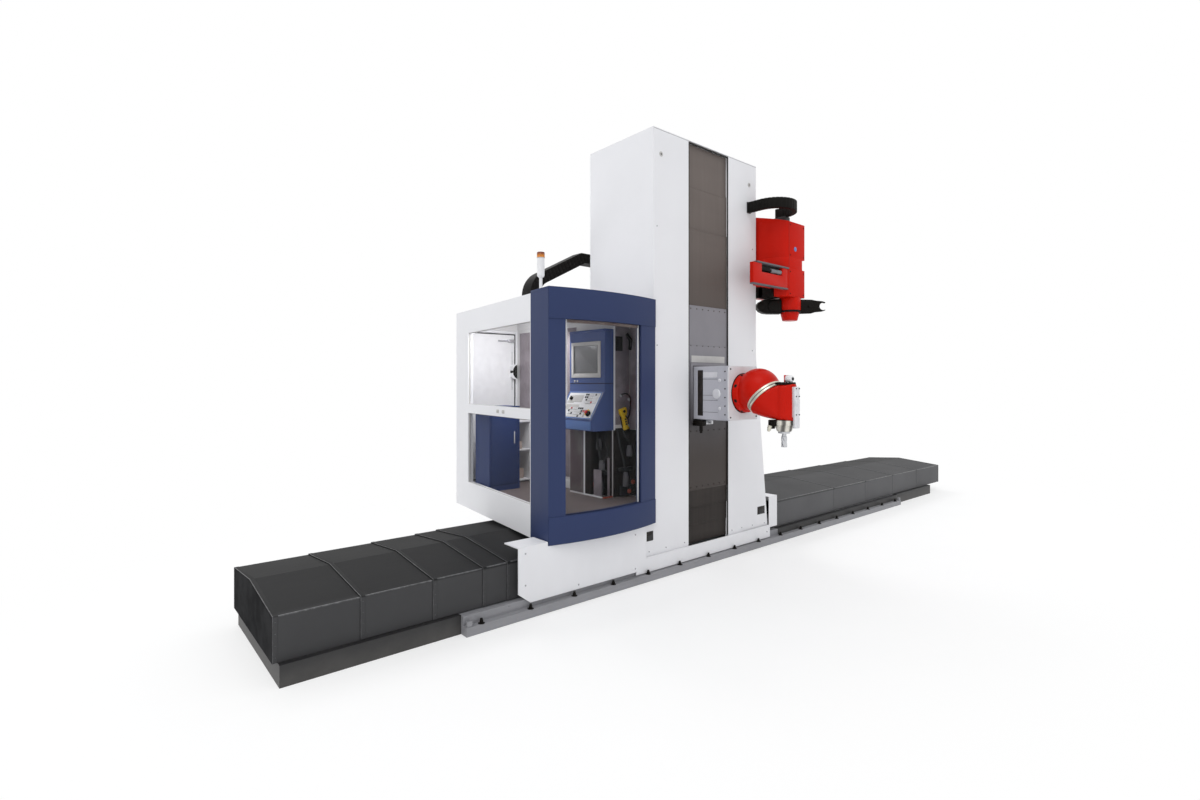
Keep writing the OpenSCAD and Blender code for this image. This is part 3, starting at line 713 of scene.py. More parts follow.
def finishes():
    """Every finish by name, made once: the record's slots and those of the added pieces."""
    if MADE:
        return MADE
    c = bpy.context.scene.mill_colours
    makers = {
        "white_paint": (powder_coat, c.white, 0.4, 0.2),
        "blue_paint": (powder_coat, c.cabin_blue, 0.4, 0.12),
        "console_paint": (powder_coat, c.console_blue, 0.36, 0.2),
        "cabinet_paint": (powder_coat, "2A3A68", 0.4, 0.16),
        "grey_paint": (powder_coat, c.grey, 0.5),
        "light_blue": (powder_coat, "6480B8", 0.4),
        # The cabin blue darkened: painted shade for the reveal of the front window.
        "dark_blue": (powder_coat, tone(c.cabin_blue, 0.45), 0.45, 0.12),
        "red_paint": (enamel, c.red),
        "cover_sheet": (cover_sheet, c.cover),
        "worn_edge": (worn_edge,),
        "rail_paint": (rail_paint, c.rail),
        "dark_paint": (dark_paint,),
        "slot_sheet": (slot_sheet, c.slot),
        "brushed_plate": (brushed_plate, c.plate),
        "machined_iron": (machined_iron,),
        "ground_steel": (ground_steel, "C9CACD"),
        "bright_steel": (ground_steel, "DEDEE2", 0.34),
        "warm_steel": (ground_steel, "D8D4C4", 0.26),
        "turned_steel": (turned_steel,),
        "cast_iron": (cast_iron, c.iron),
        "black_steel": (black_steel,),
        "rubber": (rubber,),
        "cabin_glass": (pane,),
        "cabin_floor": (tread_floor,),
        "screen": (screen_glass,),
        "amber_lens": (lens, c.amber),
        "grey_steel": (plastic, "5C5A5E", 0.45, 300),
        "grey_plastic": (plastic, "BDBBB9"),
        "white_plastic": (plastic, "E6E6E8", 0.45),
        "pale_plate": (plastic, "D9DADD", 0.5, 700, 0.15),
        "black_plastic": (plastic, "110F0D", 0.5, 700, 0.12),
        "red_plastic": (plastic, "C01C1C", 0.3),
        "yellow_plastic": (plastic, c.yellow, 0.35),
        "orange_paint": (plastic, "9A4A3A", 0.5),
        "shelf_boxes": (plastic, "B9A79C", 0.5),
        "lamp_panel": (plastic, "D9DADC", 0.5, 300),
        # End sheets of the covers, darker than the cover sheet: painted shade.
        "dark_end": (hatched, "29292A", "363637", 3, 0.0),
        "pedestal": (hatched, "5E5256", "767070", 4),
        # Painted shadow under the cabin header, seen through the front window.
        "brown_edge": (hatched, "6B5C58", "857874", 4),
        # Near black, for painted shade in recesses, pockets and openings, and for dark joints.
        "dark_recess": (hatched, "15110F", "2B2422"),
        "wall_paint": (hatched, "7E757B", "958D92", 5),
    }
    for name, (maker, *values) in makers.items():
        MADE[name] = bpy.data.materials.new(name)
        maker(Graph(MADE[name]), *values)
    return MADE


# ---------- the steps of the build ----------

# Nodes that show a finish of their own instead of their slot's.
OWN_FINISH = {"console_keypad": "white_plastic", "spindle_quill": "turned_steel",
              "cabin_door": "white_plastic", "tool_cabinet": "cabinet_paint"}


class MILL_OT_finishes(bpy.types.Operator):
    """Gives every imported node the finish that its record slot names"""
    bl_idname = "mill.finishes"
    bl_label = "Finishes"
    bl_options = {"REGISTER", "UNDO"}

    def execute(self, context):
        for row in frame["record"]["subparts"]:
            for place in frame["nodes"][row["node"]].material_slots:
                place.material = finishes()[OWN_FINISH.get(row["node"], row["material_slot"])]
        return {"FINISHED"}


class MILL_OT_covers(bpy.types.Operator):
    """Lips, wiper edges and rivets at the ends of the telescopic way covers, and painted
    highlights along their eaves
    """
    bl_idname = "mill.covers"
    bl_label = "Way covers"
    bl_options = {"REGISTER", "UNDO"}

    ridge = 0.876  # where the ridge of every cover runs; its eaves lie lower by the drops
    front_drop, back_drop = 0.078, 0.054

    def execute(self, context):
        for side, inwards in (("left", 1), ("right", -1)):
            for number in range(1, 6):
                body = {1: "bed", 5: "column"}.get(number, f"{side}_box_{number}")
                self.trim(f"{side}_cover_{number}", body, inwards, context.scene.mill_sizes)
        return {"FINISHED"}

    def trim(self, node, body, inwards, size):
        """Bands over the outside of a way cover, a path from its front foot over the ridge to
        the back; the outermost cover is closed by an end sheet."""
        low, high = corners(node)
        front = np.array([low[1], high[2] - self.front_drop])
        back = np.array([high[1], high[2] - self.back_drop])
        path = np.array([[low[1], low[2]], front, [self.ridge, high[2]], back,
                         [high[1], low[2]]])
        end = low[0] if inwards > 0 else high[0]
        # The edge strip of each lip is lighter than the sheet: worn steel with a painted
        # highlight.
        for part, width, inner, outer, finish in (
                ("lip", size.lip_width, -0.001, size.lip_height, "cover_sheet"),
                ("edge", 0.005, -0.002, size.lip_height + 0.0004, "worn_edge")):
            span = sorted([end, end + inwards * width])
            piece(f"{node}_{part}", roof_band(path, *span, inner, outer), finish, body)
        # Thin strips along both eaves in the worn_edge finish: painted highlights where the folds
        # catch the light.
        eaves = ([front - (0, 0.008), front, front + (0.009, 0.0008)],
                 [back + (-0.009, 0.0006), back, back - (0, 0.008)])
        worn_highlight = [roof_band(np.array(eave), low[0] + 0.04, high[0] - 0.04, -0.0008, 0.0008,
                            0.0004) for eave in eaves]
        piece(f"{node}_eaves", join(*worn_highlight), "worn_edge", body)
        # The outermost cover's end sheet is darker than the cover sheet and has no shine: painted
        # shade on the end face.
        if body == "bed":
            sheet = placed(prism(path, 0.0002, 0.0015, 0.0006), end * X,
                           np.array([Y, Z, -inwards * X]))
            piece(f"{node}_end", outward(sheet), "dark_end", body)
        middle = end + inwards * size.lip_width * 0.55
        rivets = np.linspace((middle, low[1], low[2] + 0.04), (middle, low[1], high[2] - 0.12), 4)
        piece(f"{node}_rivets", screws(rivets, -Y, 0.0045), "worn_edge", body)


class MILL_OT_bed(bpy.types.Operator):
    """Nuts' washers, the drip edge and the end stops of the levelling rails"""
    bl_idname = "mill.bed"
    bl_label = "Bed trim"
    bl_options = {"REGISTER", "UNDO"}

    def execute(self, context):
        low, high = corners("levelling_rails")
        first, pitch, count = -3.22, 0.524, 17
        pads = [[x, y, 0.08] for y in (-0.054, 1.654) for x in first + pitch * np.arange(count)]
        washer = lathe([(0.031, 0), (0.031, 0.0025), (0.028, 0.004), (0.0205, 0.004)], count=20)
        stops = [(x, low[1] + 0.004, 0.081, x + 0.05, -0.037, 0.128)
                 for x in (low[0] + 0.01, high[0] - 0.06)]
        pieces("bed",
            ("levelling_washers", "black_steel", scattered(washer, pads)),
            ("rail_end_stops", "rail_paint", *stops))
        for name, finish, foot, back, start, end, thick in (
                ("rail_drip_edge", "rail_paint", 0.1, 0.03, low[0] + 0.002, 1.49, 0.002),
                ("right_cover_apron", "dark_paint", 0.082, 0.055, 1.5, high[0] - 0.004, 0.0035)):
            path = np.array([[-0.0085, foot], [-0.0085, 0.161], [back, 0.161]])
            piece(name, roof_band(path, start, end, 0.0, thick), finish, "bed")
        return {"FINISHED"}


class MILL_OT_column(bpy.types.Operator):
    """Corner recesses, latches, lifting eyes and screws on the column cladding and skirt"""
    bl_idname = "mill.column"
    bl_label = "Column trim"
    bl_options = {"REGISTER", "UNDO"}

    def recess(self, side, width, height, x, z):
        """A shallow hand hole: a rolled frame, its back in near-black painted shade and a bracket
        inside.
        """
        half = np.array([width, height]) / 2
        back = prism(rounded(-half + 0.006, half - 0.006, 0.004), 0.0002, 0.0012, 0.0004)
        bracket = half * [(-0.45, -0.8), (0.75, -0.8), (0.75, 0.35), (0.1, 0.1), (-0.45, 0.1)]
        for part, finish, shape in (
                ("rim", "white_paint", frame_band(-half, half, 0.008, 0.004, 0.0012)),
                ("back", "dark_recess", back),
                ("bracket", "dark_paint", prism(bracket, 0.001, 0.0025, 0.0006))):
            piece(f"{side}_recess_{part}", placed(shape, (x, COLUMN_FRONT, z), FRONT), finish)

    def execute(self, context):
        self.recess("left", 0.135, 0.125, -1.052, 0.478)
        self.recess("right", 0.188, 0.122, 1.104, 0.476)
        latch = solid((-0.012, -0.016, 0, 0.012, 0.016, 0.006, 0.002),
                      (-0.005, -0.01, 0.005, 0.005, 0.01, 0.012, 0.002))
        latches = grid(-1.118, COLUMN_FRONT, (0.394, 0.336, 0.279))
        eye = lathe([(0.029, 0), (0.029, 0.004), (0.025, 0.006), (0.012, 0.005),
                     (0.011, 0.002), (0.002, 0.002)], count=32)
        hole = lathe([(0.0105, 0.001), (0.0105, 0.0028), (0.002, 0.003)], count=24)
        eyes = [[-0.863, 0, 4.837], [0.8336, 0, 4.846]]
        foot, waist, top = 0.304, 2.639, 4.0  # heights of the rows of cladding screws
        cladding = [[x, 0, z] for x, z in (
            (-0.781, foot), (-1.06, foot), (-0.46, foot), (0.46, foot), (0.67, foot),
            (-0.93, waist), (-0.93, top), (0.905, 0.301), (1.18, 0.29), (0.905, waist),
            (0.905, top))]
        skirt = [[x, corners("front_skirt")[0][1], z] for x, z in (
            (-2.74, 0.6), (-2.74, 0.3), (-1.304, 0.542), (-1.304, 0.17), (1.2, 0.17),
            (-2.1, 0.17))]
        low, high = corners("column_top_cover")
        across = np.array([[low[1] + 0.03, high[2] - 0.0005], [high[1] - 0.03, high[2] - 0.0005]])
        rib = roof_band(across, low[0] + 0.05, low[0] + 0.09, 0.0, 0.004)
        plug = lathe([(0.034, 0), (0.034, 0.012), (0.022, 0.016), (0.022, 0.01), (0.002, 0.01)],
                     count=24)
        plugs = grid((-0.8, 0.8), (0.2, 0.9), high[2])
        pieces("column",
            ("seam_latches", "black_steel", scattered(latch, latches, FRONT)),
            ("lifting_eyes", "grey_plastic", scattered(eye, eyes, FRONT)),
            ("lifting_eye_holes", "dark_paint", scattered(hole, eyes, FRONT)),
            ("cladding_screws", "ground_steel", screws(cladding, -Y)),
            ("skirt_screws", "ground_steel", screws(skirt, -Y, 0.008)),
            ("cladding_seams", "dark_paint",
             (-1.1215, -0.0006, 0.206, -1.1185, 0.0002, 0.605, 0.0004),
             (-0.987, -0.0006, 5.1125, 0.984, 0.0002, 5.1155, 0.0002)),
            ("top_cover_ribs", "white_paint", *[placed(rib, x * X) for x in (0, 0.9, 1.79)]),
            ("top_plugs", "black_plastic", scattered(plug, plugs)))
        return {"FINISHED"}


class MILL_OT_slot(bpy.types.Operator):
    """Seals beside the slot, hems of the sliding plates and the wiper frame round the ram"""
    bl_idname = "mill.slot"
    bl_label = "Slot and ram plate"
    bl_options = {"REGISTER", "UNDO"}

    hem = 0.014  # height of the fold along the end of a sliding plate

    def execute(self, context):
        top = corners("fixed_slot_plates")[1][2] + 0.004
        strips = [(side * 0.3849, -0.002, 0.262, side * 0.372, 0.0115, top, 0.002)
                  for side in (-1, 1)]
        pieces("column",
            ("slot_seals", "rubber", *strips,
             (-0.372, -0.002, top - 0.012, 0.372, 0.0115, top, 0.002)))
        sliding = [(f"{level}_slot_plate_{number}", f"{level}_plate_{number}", "slot_sheet",
                    (end,)) for level, end in (("upper", 1), ("lower", 0)) for number in (2, 3)]
        for node, body, finish, ends in (
                *sliding, ("carriage_plate", "carriage", "brushed_plate", (0, 1))):
            low, high = corners(node)
            hems = [(low[0] + 0.012, low[1] - 0.0016, z, high[0] - 0.012, low[1] + 0.001,
                     z + self.hem, 0.0008)
                    for z in [(low[2], high[2] - self.hem)[end] for end in ends]]
            pieces(body, (f"{node}_hems", finish, *hems))
        self.ram_plate()
        return {"FINISHED"}

    def ram_plate(self):
        low, high = corners("carriage_plate")
        ram_low, ram_high = corners("ram")
        face, middle = low[1], (ram_low[2] + ram_high[2]) / 2
        half = np.array([ram_high[0], (ram_high[2] - ram_low[2]) / 2]) + 0.0045
        for name, finish, width, depth, edge in (
                ("ram_wiper_frame", "brushed_plate", 0.042, 0.011, 0.002),
                ("ram_wiper_lip", "rubber", 0.006, 0.013, 0.001)):
            band = frame_band(-half - width, half + width, width, depth, edge)
            piece(name, placed(band, (0, face, middle), FRONT), finish, "carriage")
        rows = [[x, face, z] for z in (2.66, 3.11, 1.62, 0.94)
                for x in np.linspace(-0.33, 0.33, 7)]
        pieces("carriage",
            ("plate_screws", "slot_sheet", screws(rows, -Y)),
            ("ram_plate_step", "brushed_plate",
             (-0.36, face - 0.004, high[2] - 0.49, 0.36, face + 0.001, 2.452, 0.0015)),
            ("ram_plate_band", "grey_plastic",
             (-0.32, face - 0.0052, 2.458, 0.32, face - 0.0035, 2.54, 0.0006)))


class MILL_OT_ram(bpy.types.Operator):
    """Covers, boss and flange of the ram, and the connectors under it"""
    bl_idname = "mill.ram"
    bl_label = "Ram trim"
    bl_options = {"REGISTER", "UNDO"}

    def bored_plate(self, half, radius, low, high):
        """A plate with a round bore: at each angle the section runs from the circle out to the
        rectangle, so the grid closes round the hole."""
        way = spokes(96)
        reach = np.sum(np.abs(way / half) ** 16, 1) ** (-1 / 16)
        section = ((0, low), (0, high - 0.002), (0.01, high), (0.985, high), (1, high - 0.003),
                   (1, low))
        rows = [np.column_stack([(radius + share * (reach - radius))[:, None] * way,
                                 np.full(96, depth)]) for share, depth in section]
        return outward(surface(np.array(rows), closed=True))

    def execute(self, context):
        low, high = corners("ram")
        middle = (low[2] + high[2]) / 2
        half = np.array([high[0], (high[2] - low[2]) / 2]) - 0.001
        flange = self.bored_plate(half, 0.236, 0.4995, 0.514)
        corner = grid((-0.25, 0.25), -0.513, (middle - 0.28, middle + 0.28))
        pieces("ram",
            ("ram_front_plate", "pale_plate", placed(flange, middle * Z, FRONT)),
            ("ram_front_screws", "black_steel", screws(corner, -Y, 0.009)))
        for side in (-1, 1):
            self.flank(side, side * high[0])
        plug = lathe([(0.02, 0), (0.022, 0.06), (0.016, 0.065), (0.016, 0.085)],
                     (-0.26, -0.09, 1.69), -Z, 16)
        lever = lathe([(0.014, 0), (0.014, 0.05), (0.01, 0.055)], (-0.1, -0.07, 1.725), -Y, 16)
        pieces("carriage",
            ("ram_connectors", "black_steel", (-0.3, -0.13, 1.69, -0.215, 0.013, 1.757, 0.006),
             (-0.195, -0.1, 1.7, -0.17, 0.013, 1.757, 0.006), plug),
            ("ram_clamp", "ground_steel", (-0.15, -0.07, 1.7, 0.0, 0.013, 1.752, 0.008), lever))
        return {"FINISHED"}

    def flank(self, side, x):
        name, thin = {-1: "left", 1: "right"}[side], x + side * 0.0008
        boss = lathe([(0.058, 0), (0.058, 0.009), (0.053, 0.013), (0.002, 0.0135)],
                     (x, -0.345, 2.08), side * X, 40)
        small = [lathe([(0.02, 0.005), (0.02, 0.014), (0.016, 0.017), (0.002, 0.017)],
                       (x, -0.395, z), side * X, 24) for z in (2.235, 1.91)]
        dots = grid(x + side * 0.0055, -0.47, np.linspace(1.84, 2.34, 6))
        pieces("ram",
            # The groove is a near-black strip: painted shade in the gap along the ram's side.
            (f"ram_{name}_groove", "dark_recess", (x, -0.14, 1.815, thin, -0.06, 2.36, 0.0003)),
            (f"ram_{name}_bar", "bright_steel", (x, -0.355, 2.27, thin, -0.142, 2.335, 0.0003)),
            (f"ram_{name}_lines", "dark_paint",
             *[(x, -0.36, z, thin, -0.142, z + 0.004, 0.0003) for z in (1.86, 2.0, 2.06, 2.25)]),
            (f"ram_{name}_collar", "machined_iron",
             (x, -0.499, 1.79, x + side * 0.006, -0.372, 2.385, 0.002)),
            (f"ram_{name}_boss", "bright_steel", boss, *small),
            (f"ram_{name}_screws", "black_steel", screws(dots, side * X, 0.008)))


class MILL_OT_head(bpy.types.Operator):
    """The universal head: flange, elbow, swivel ring, spindle half and cutter"""
    bl_idname = "mill.head"
    bl_label = "Head"
    bl_options = {"REGISTER", "UNDO"}

    ring = np.array([0, -0.82, 2.045])
    swivel = unit([0, -1, -1])

    def execute(self, context):
        self.flange()
        self.elbow()
        self.swivel_ring()
        self.spindle_half()
        self.fittings()
        self.cutter()
        return {"FINISHED"}

    def flange(self):
        face = (0, -0.5, RAM_AXIS)
        gasket = lathe([(0.12, 0.002), (0.231, 0.002), (0.232, 0.012), (0.226, 0.0145),
                        (0.12, 0.0145)], face, -Y, 96)
        drum = lathe([(0.12, 0.0145), (0.22, 0.0145), (0.225, 0.019), (0.225, 0.074),
                      (0.222, 0.084), (0.213, 0.09), (0.12, 0.09)], face, -Y, 128)
        pocket = lathe([(0.021, -0.004), (0.021, 0.0006), (0.018, 0.0016), (0.002, 0.0016)],
                       count=20)
        turn = np.radians(22.5 + 45 * np.arange(8))
        seats = [(np.array([0, -0.553, RAM_AXIS]) + 0.2245 * way, axes(way))
                 for way in np.column_stack([np.cos(turn), 0 * turn, np.sin(turn)])]
        pieces("head",
            ("head_gasket", "black_steel", gasket),
            ("head_flange", "red_paint", drum),
            # Near-black pockets round the bolts: painted shade.
            ("flange_pockets", "dark_recess", *[placed(pocket, *seat) for seat in seats]),
            ("flange_bolts", "black_steel",
             *[placed(screw_head(0.0095), *seat) for seat in seats]))

    def elbow(self):
        """A cast elbow seen from the middle of its dome: in every direction the larger, by a
        high power mean, of the swivel cylinder and the neck along the ram, never past the
        swivel plane."""
        centre = self.ring - 0.13 * self.swivel
        radius, ball, reach = 0.226, 0.238, 0.1  # cylinder, dome, and how far the plane lies
        neck_radius, neck_length = 0.203, 0.2
        rim = math.atan2(radius, reach)
        polar = np.r_[np.linspace(0.01, rim - 0.03, 5), np.linspace(rim - 0.015, rim + 0.015, 5),
                      np.linspace(rim + 0.03, np.pi - 0.01, 84)][:, None]
        u, v, w = axes(self.swivel)
        cosine, sine = spokes(160).T[:, None, :, None]
        way = (np.sin(polar)[..., None] * (cosine * u + sine * v)
               + np.cos(polar)[..., None] * w)
        dome = np.maximum(np.where(np.cos(polar) > 0, radius / np.sin(polar), 0), ball)
        flat, rise = way[..., 0] ** 2 + way[..., 2] ** 2, centre[2] - RAM_AXIS
        half = rise * way[..., 2]
        tube_reach = (np.sqrt(half ** 2 + flat * (neck_radius ** 2 - rise ** 2)) - half) / flat
        back = np.maximum(way[..., 1], 1e-6)
        neck = np.where(way[..., 1] > 0, np.minimum(tube_reach, neck_length / back), 1e-3)
        plane = np.where(np.cos(polar) > 0, reach / np.maximum(np.cos(polar), 1e-6), 9)
        far = np.minimum((dome ** 40 + neck ** 40) ** (1 / 40), plane)
        piece("head_elbow", outward(surface(centre + far[..., None] * way)), "red_paint", "head",
              stands_for=("head_flange_half",))

    def swivel_ring(self):
        half = np.array([(0.15, -0.0295), (0.2305, -0.0295), (0.2335, -0.0268), (0.234, -0.024),
                         (0.234, -0.0065), (0.2325, -0.005), (0.2265, -0.0045)])
        ring = lathe(np.vstack([half, half[::-1] * (1, -1)]), self.ring, self.swivel, 160)
        piece("swivel_scale_ring", ring, "warm_steel", "head", stands_for=("swivel_ring",))
        groove = lathe([(0.2, -0.0048), (0.2275, -0.0046), (0.2275, 0.0046), (0.2, 0.0048)],
                       self.ring, self.swivel, 120)
        u, v, w = axes(self.swivel)
        marks = []
        for number, way in enumerate(spokes(72) @ np.array([u, v])):
            mark = block((-0.0008, 0.008, 0), (0.0008, 0.014 if number % 2 else 0.018, 0.0006),
                         0.0002)
            marks.append(placed(mark, self.ring + 0.2336 * way,
                                np.array([np.cross(w, way), w, way])))
        pieces("head",
            ("swivel_groove", "grey_steel", groove),
            ("swivel_scale_marks", "black_steel", *marks))

    def spindle_half(self):
        """The spindle half: straight lines from the ring's circle to an upright rounded
        rectangle through the spindle, swelled a little, then a round front whose width
        shrinks with the cosine."""
        half_width, middle, half_height = 0.135, 1.995, 0.2
        around = spokes(144)
        circle = around @ np.array([X, unit([0, -1, 1])])
        base = self.ring + 0.0305 * self.swivel
        square = np.sign(around) * np.abs(around) ** (2 / 5.5)
        side, height = half_width * square[:, 0], middle + half_height * square[:, 1]
        target = np.column_stack([side, np.full(144, SPINDLE_Y), height])
        rows = [base + radius * circle + step * self.swivel for radius, step in
                ((0.15, 0), (0.22, 0), (0.225, 0.002), (0.226, 0.006))]
        start = base + 0.226 * circle + 0.02 * self.swivel
        rows += [(1 - share) * start + share * target
                 + 0.012 * math.sin(math.pi * share) * circle for share in np.linspace(0, 1, 26)]
        rows += [np.column_stack([side * math.cos(tilt),
                                  np.full(144, SPINDLE_Y - half_width * math.sin(tilt)),
                                  height])
                 for tilt in np.radians(np.linspace(4, 78, 18))]
        piece("head_spindle_body", outward(surface(np.array(rows))), "red_paint",
              "spindle_head", crease=50, stands_for=("head_spindle_half",))

    def on_circle(self, degrees, z):
        """Places round the spindle at the height z, on a circle of 112 mm radius."""
        return [[0.112 * math.cos(turn), SPINDLE_Y + 0.112 * math.sin(turn), z]
                for turn in np.radians(degrees)]

    def fittings(self):
        dots = grid((-0.03, 0.03), -1.222, (1.86, 2.06, 2.145))
        around = arc((0, SPINDLE_Y), 0.124, 0, 360, 72)[:-1]
        around[:, 1] = np.minimum(around[:, 1], -1.012 - 0.002 * np.abs(around[:, 0]) / 0.12)
        well = prism(around, 2.188, 2.213, 0.004)
        lid = prism(0.86 * (around - (0, -1.07)) + (0, -1.07), 2.212, 2.2165, 0.002)
        valve_face = (0.0, -1.085, 2.252)
        valve = lathe([(0.02, -0.004), (0.036, 0), (0.04, 0.006), (0.04, 0.058),
                       (0.034, 0.07), (0.027, 0.075), (0.002, 0.075)], valve_face, -Y, 36)
        foot = lathe([(0.026, 0), (0.024, 0.03), (0.02, 0.034)], (0, -1.11, 2.213), Z, 28)
        mouth = lathe([(0.018, 0.073), (0.018, 0.082), (0.014, 0.085), (0.011, 0.079),
                       (0.002, 0.079)], valve_face, -Y, 28)
        jet = lathe([(0.018, 0), (0.024, 0.004), (0.024, 0.04), (0.019, 0.044), (0.019, 0.058),
                     (0.012, 0.072), (0.004, 0.074)], (-0.135, -0.965, 1.74),
                    np.array([-0.1, 0.25, -1.0]), 28)
        rim = self.on_circle(np.linspace(200, 340, 9), 2.2115)
        nose = self.on_circle(30 + 60 * np.arange(6), 1.748)
        pieces("spindle_head",
            ("spindle_front_plate", "bright_steel",
             (-0.046, -1.222, 1.83, 0.046, -1.17, 2.165, 0.006, 0.012),
             (-0.046, -1.223, 1.712, 0.046, -1.185, 1.835, 0.006, 0.012),
             (-0.04, -1.2265, 1.9, 0.04, -1.218, 2.03, 0.003, 0.01)),
            ("spindle_front_screws", "black_steel", screws(dots, -Y)),
            ("drawbar_cover", "black_steel", well, lid),
            ("drawbar_bolts", "ground_steel", screws(rim, Z, 0.006)),
            ("release_valve", "white_plastic", valve, foot),
            ("release_valve_mouth", "dark_paint", mouth),
            ("release_valve_band", "red_plastic",
             (-0.04, -1.086, 2.214, 0.04, -1.074, 2.294, 0.003, 0.006)),
            ("nozzle_holder", "black_steel",
             (-0.15, -1.04, 1.735, -0.06, -0.94, 1.8, 0.012, 0.02),
             (-0.128, -1.0, 1.7, -0.085, -0.955, 1.74, 0.008)),
            ("nozzle_silver", "warm_steel", jet),
            ("nose_screws", "black_steel", screws(nose, -Z)))

    def cutter(self):
        """A four-fluted end mill: its radius dips in four places round the circle, and the
        dips turn steadily with height; the shank above is plain."""
        tip, radius, twist = np.array([0, SPINDLE_Y, 1.495]), 0.031, 17
        turn = np.arange(96)[None] * CIRCLE / 96
        height = np.r_[0, 0.0015, np.linspace(0.003, 0.1, 40), 0.112][:, None]
        dip = 0.5 + 0.5 * np.cos(4 * (turn + height * twist))
        flute = radius * (1 - 0.2 * dip ** 2.2)
        flute[0] *= 0.93
        flute[-1] = radius * 0.98
        points = np.stack([flute * np.cos(turn), flute * np.sin(turn), height + 0 * turn], -1)
        shank = lathe([(radius, 0.106), (radius, 0.118), (0.025, 0.122), (0.024, 0.154)], tip,
                      Z, 64)
        piece("fluted_end_mill", join(placed(outward(surface(points)), tip), shank),
              "ground_steel", "spindle", crease=30, stands_for=("end_mill",))


def lit(name, kind, source, **values):
    """A light whose third axis points back at where its light comes from."""
    light = bpy.data.lights.new(name, kind)
    for key, value in values.items():
        setattr(light, key, value)
    made = linked(bpy.data.objects.new(name, light))
    made.rotation_euler = mathutils.Matrix(axes(source)).transposed().to_euler()
    return made


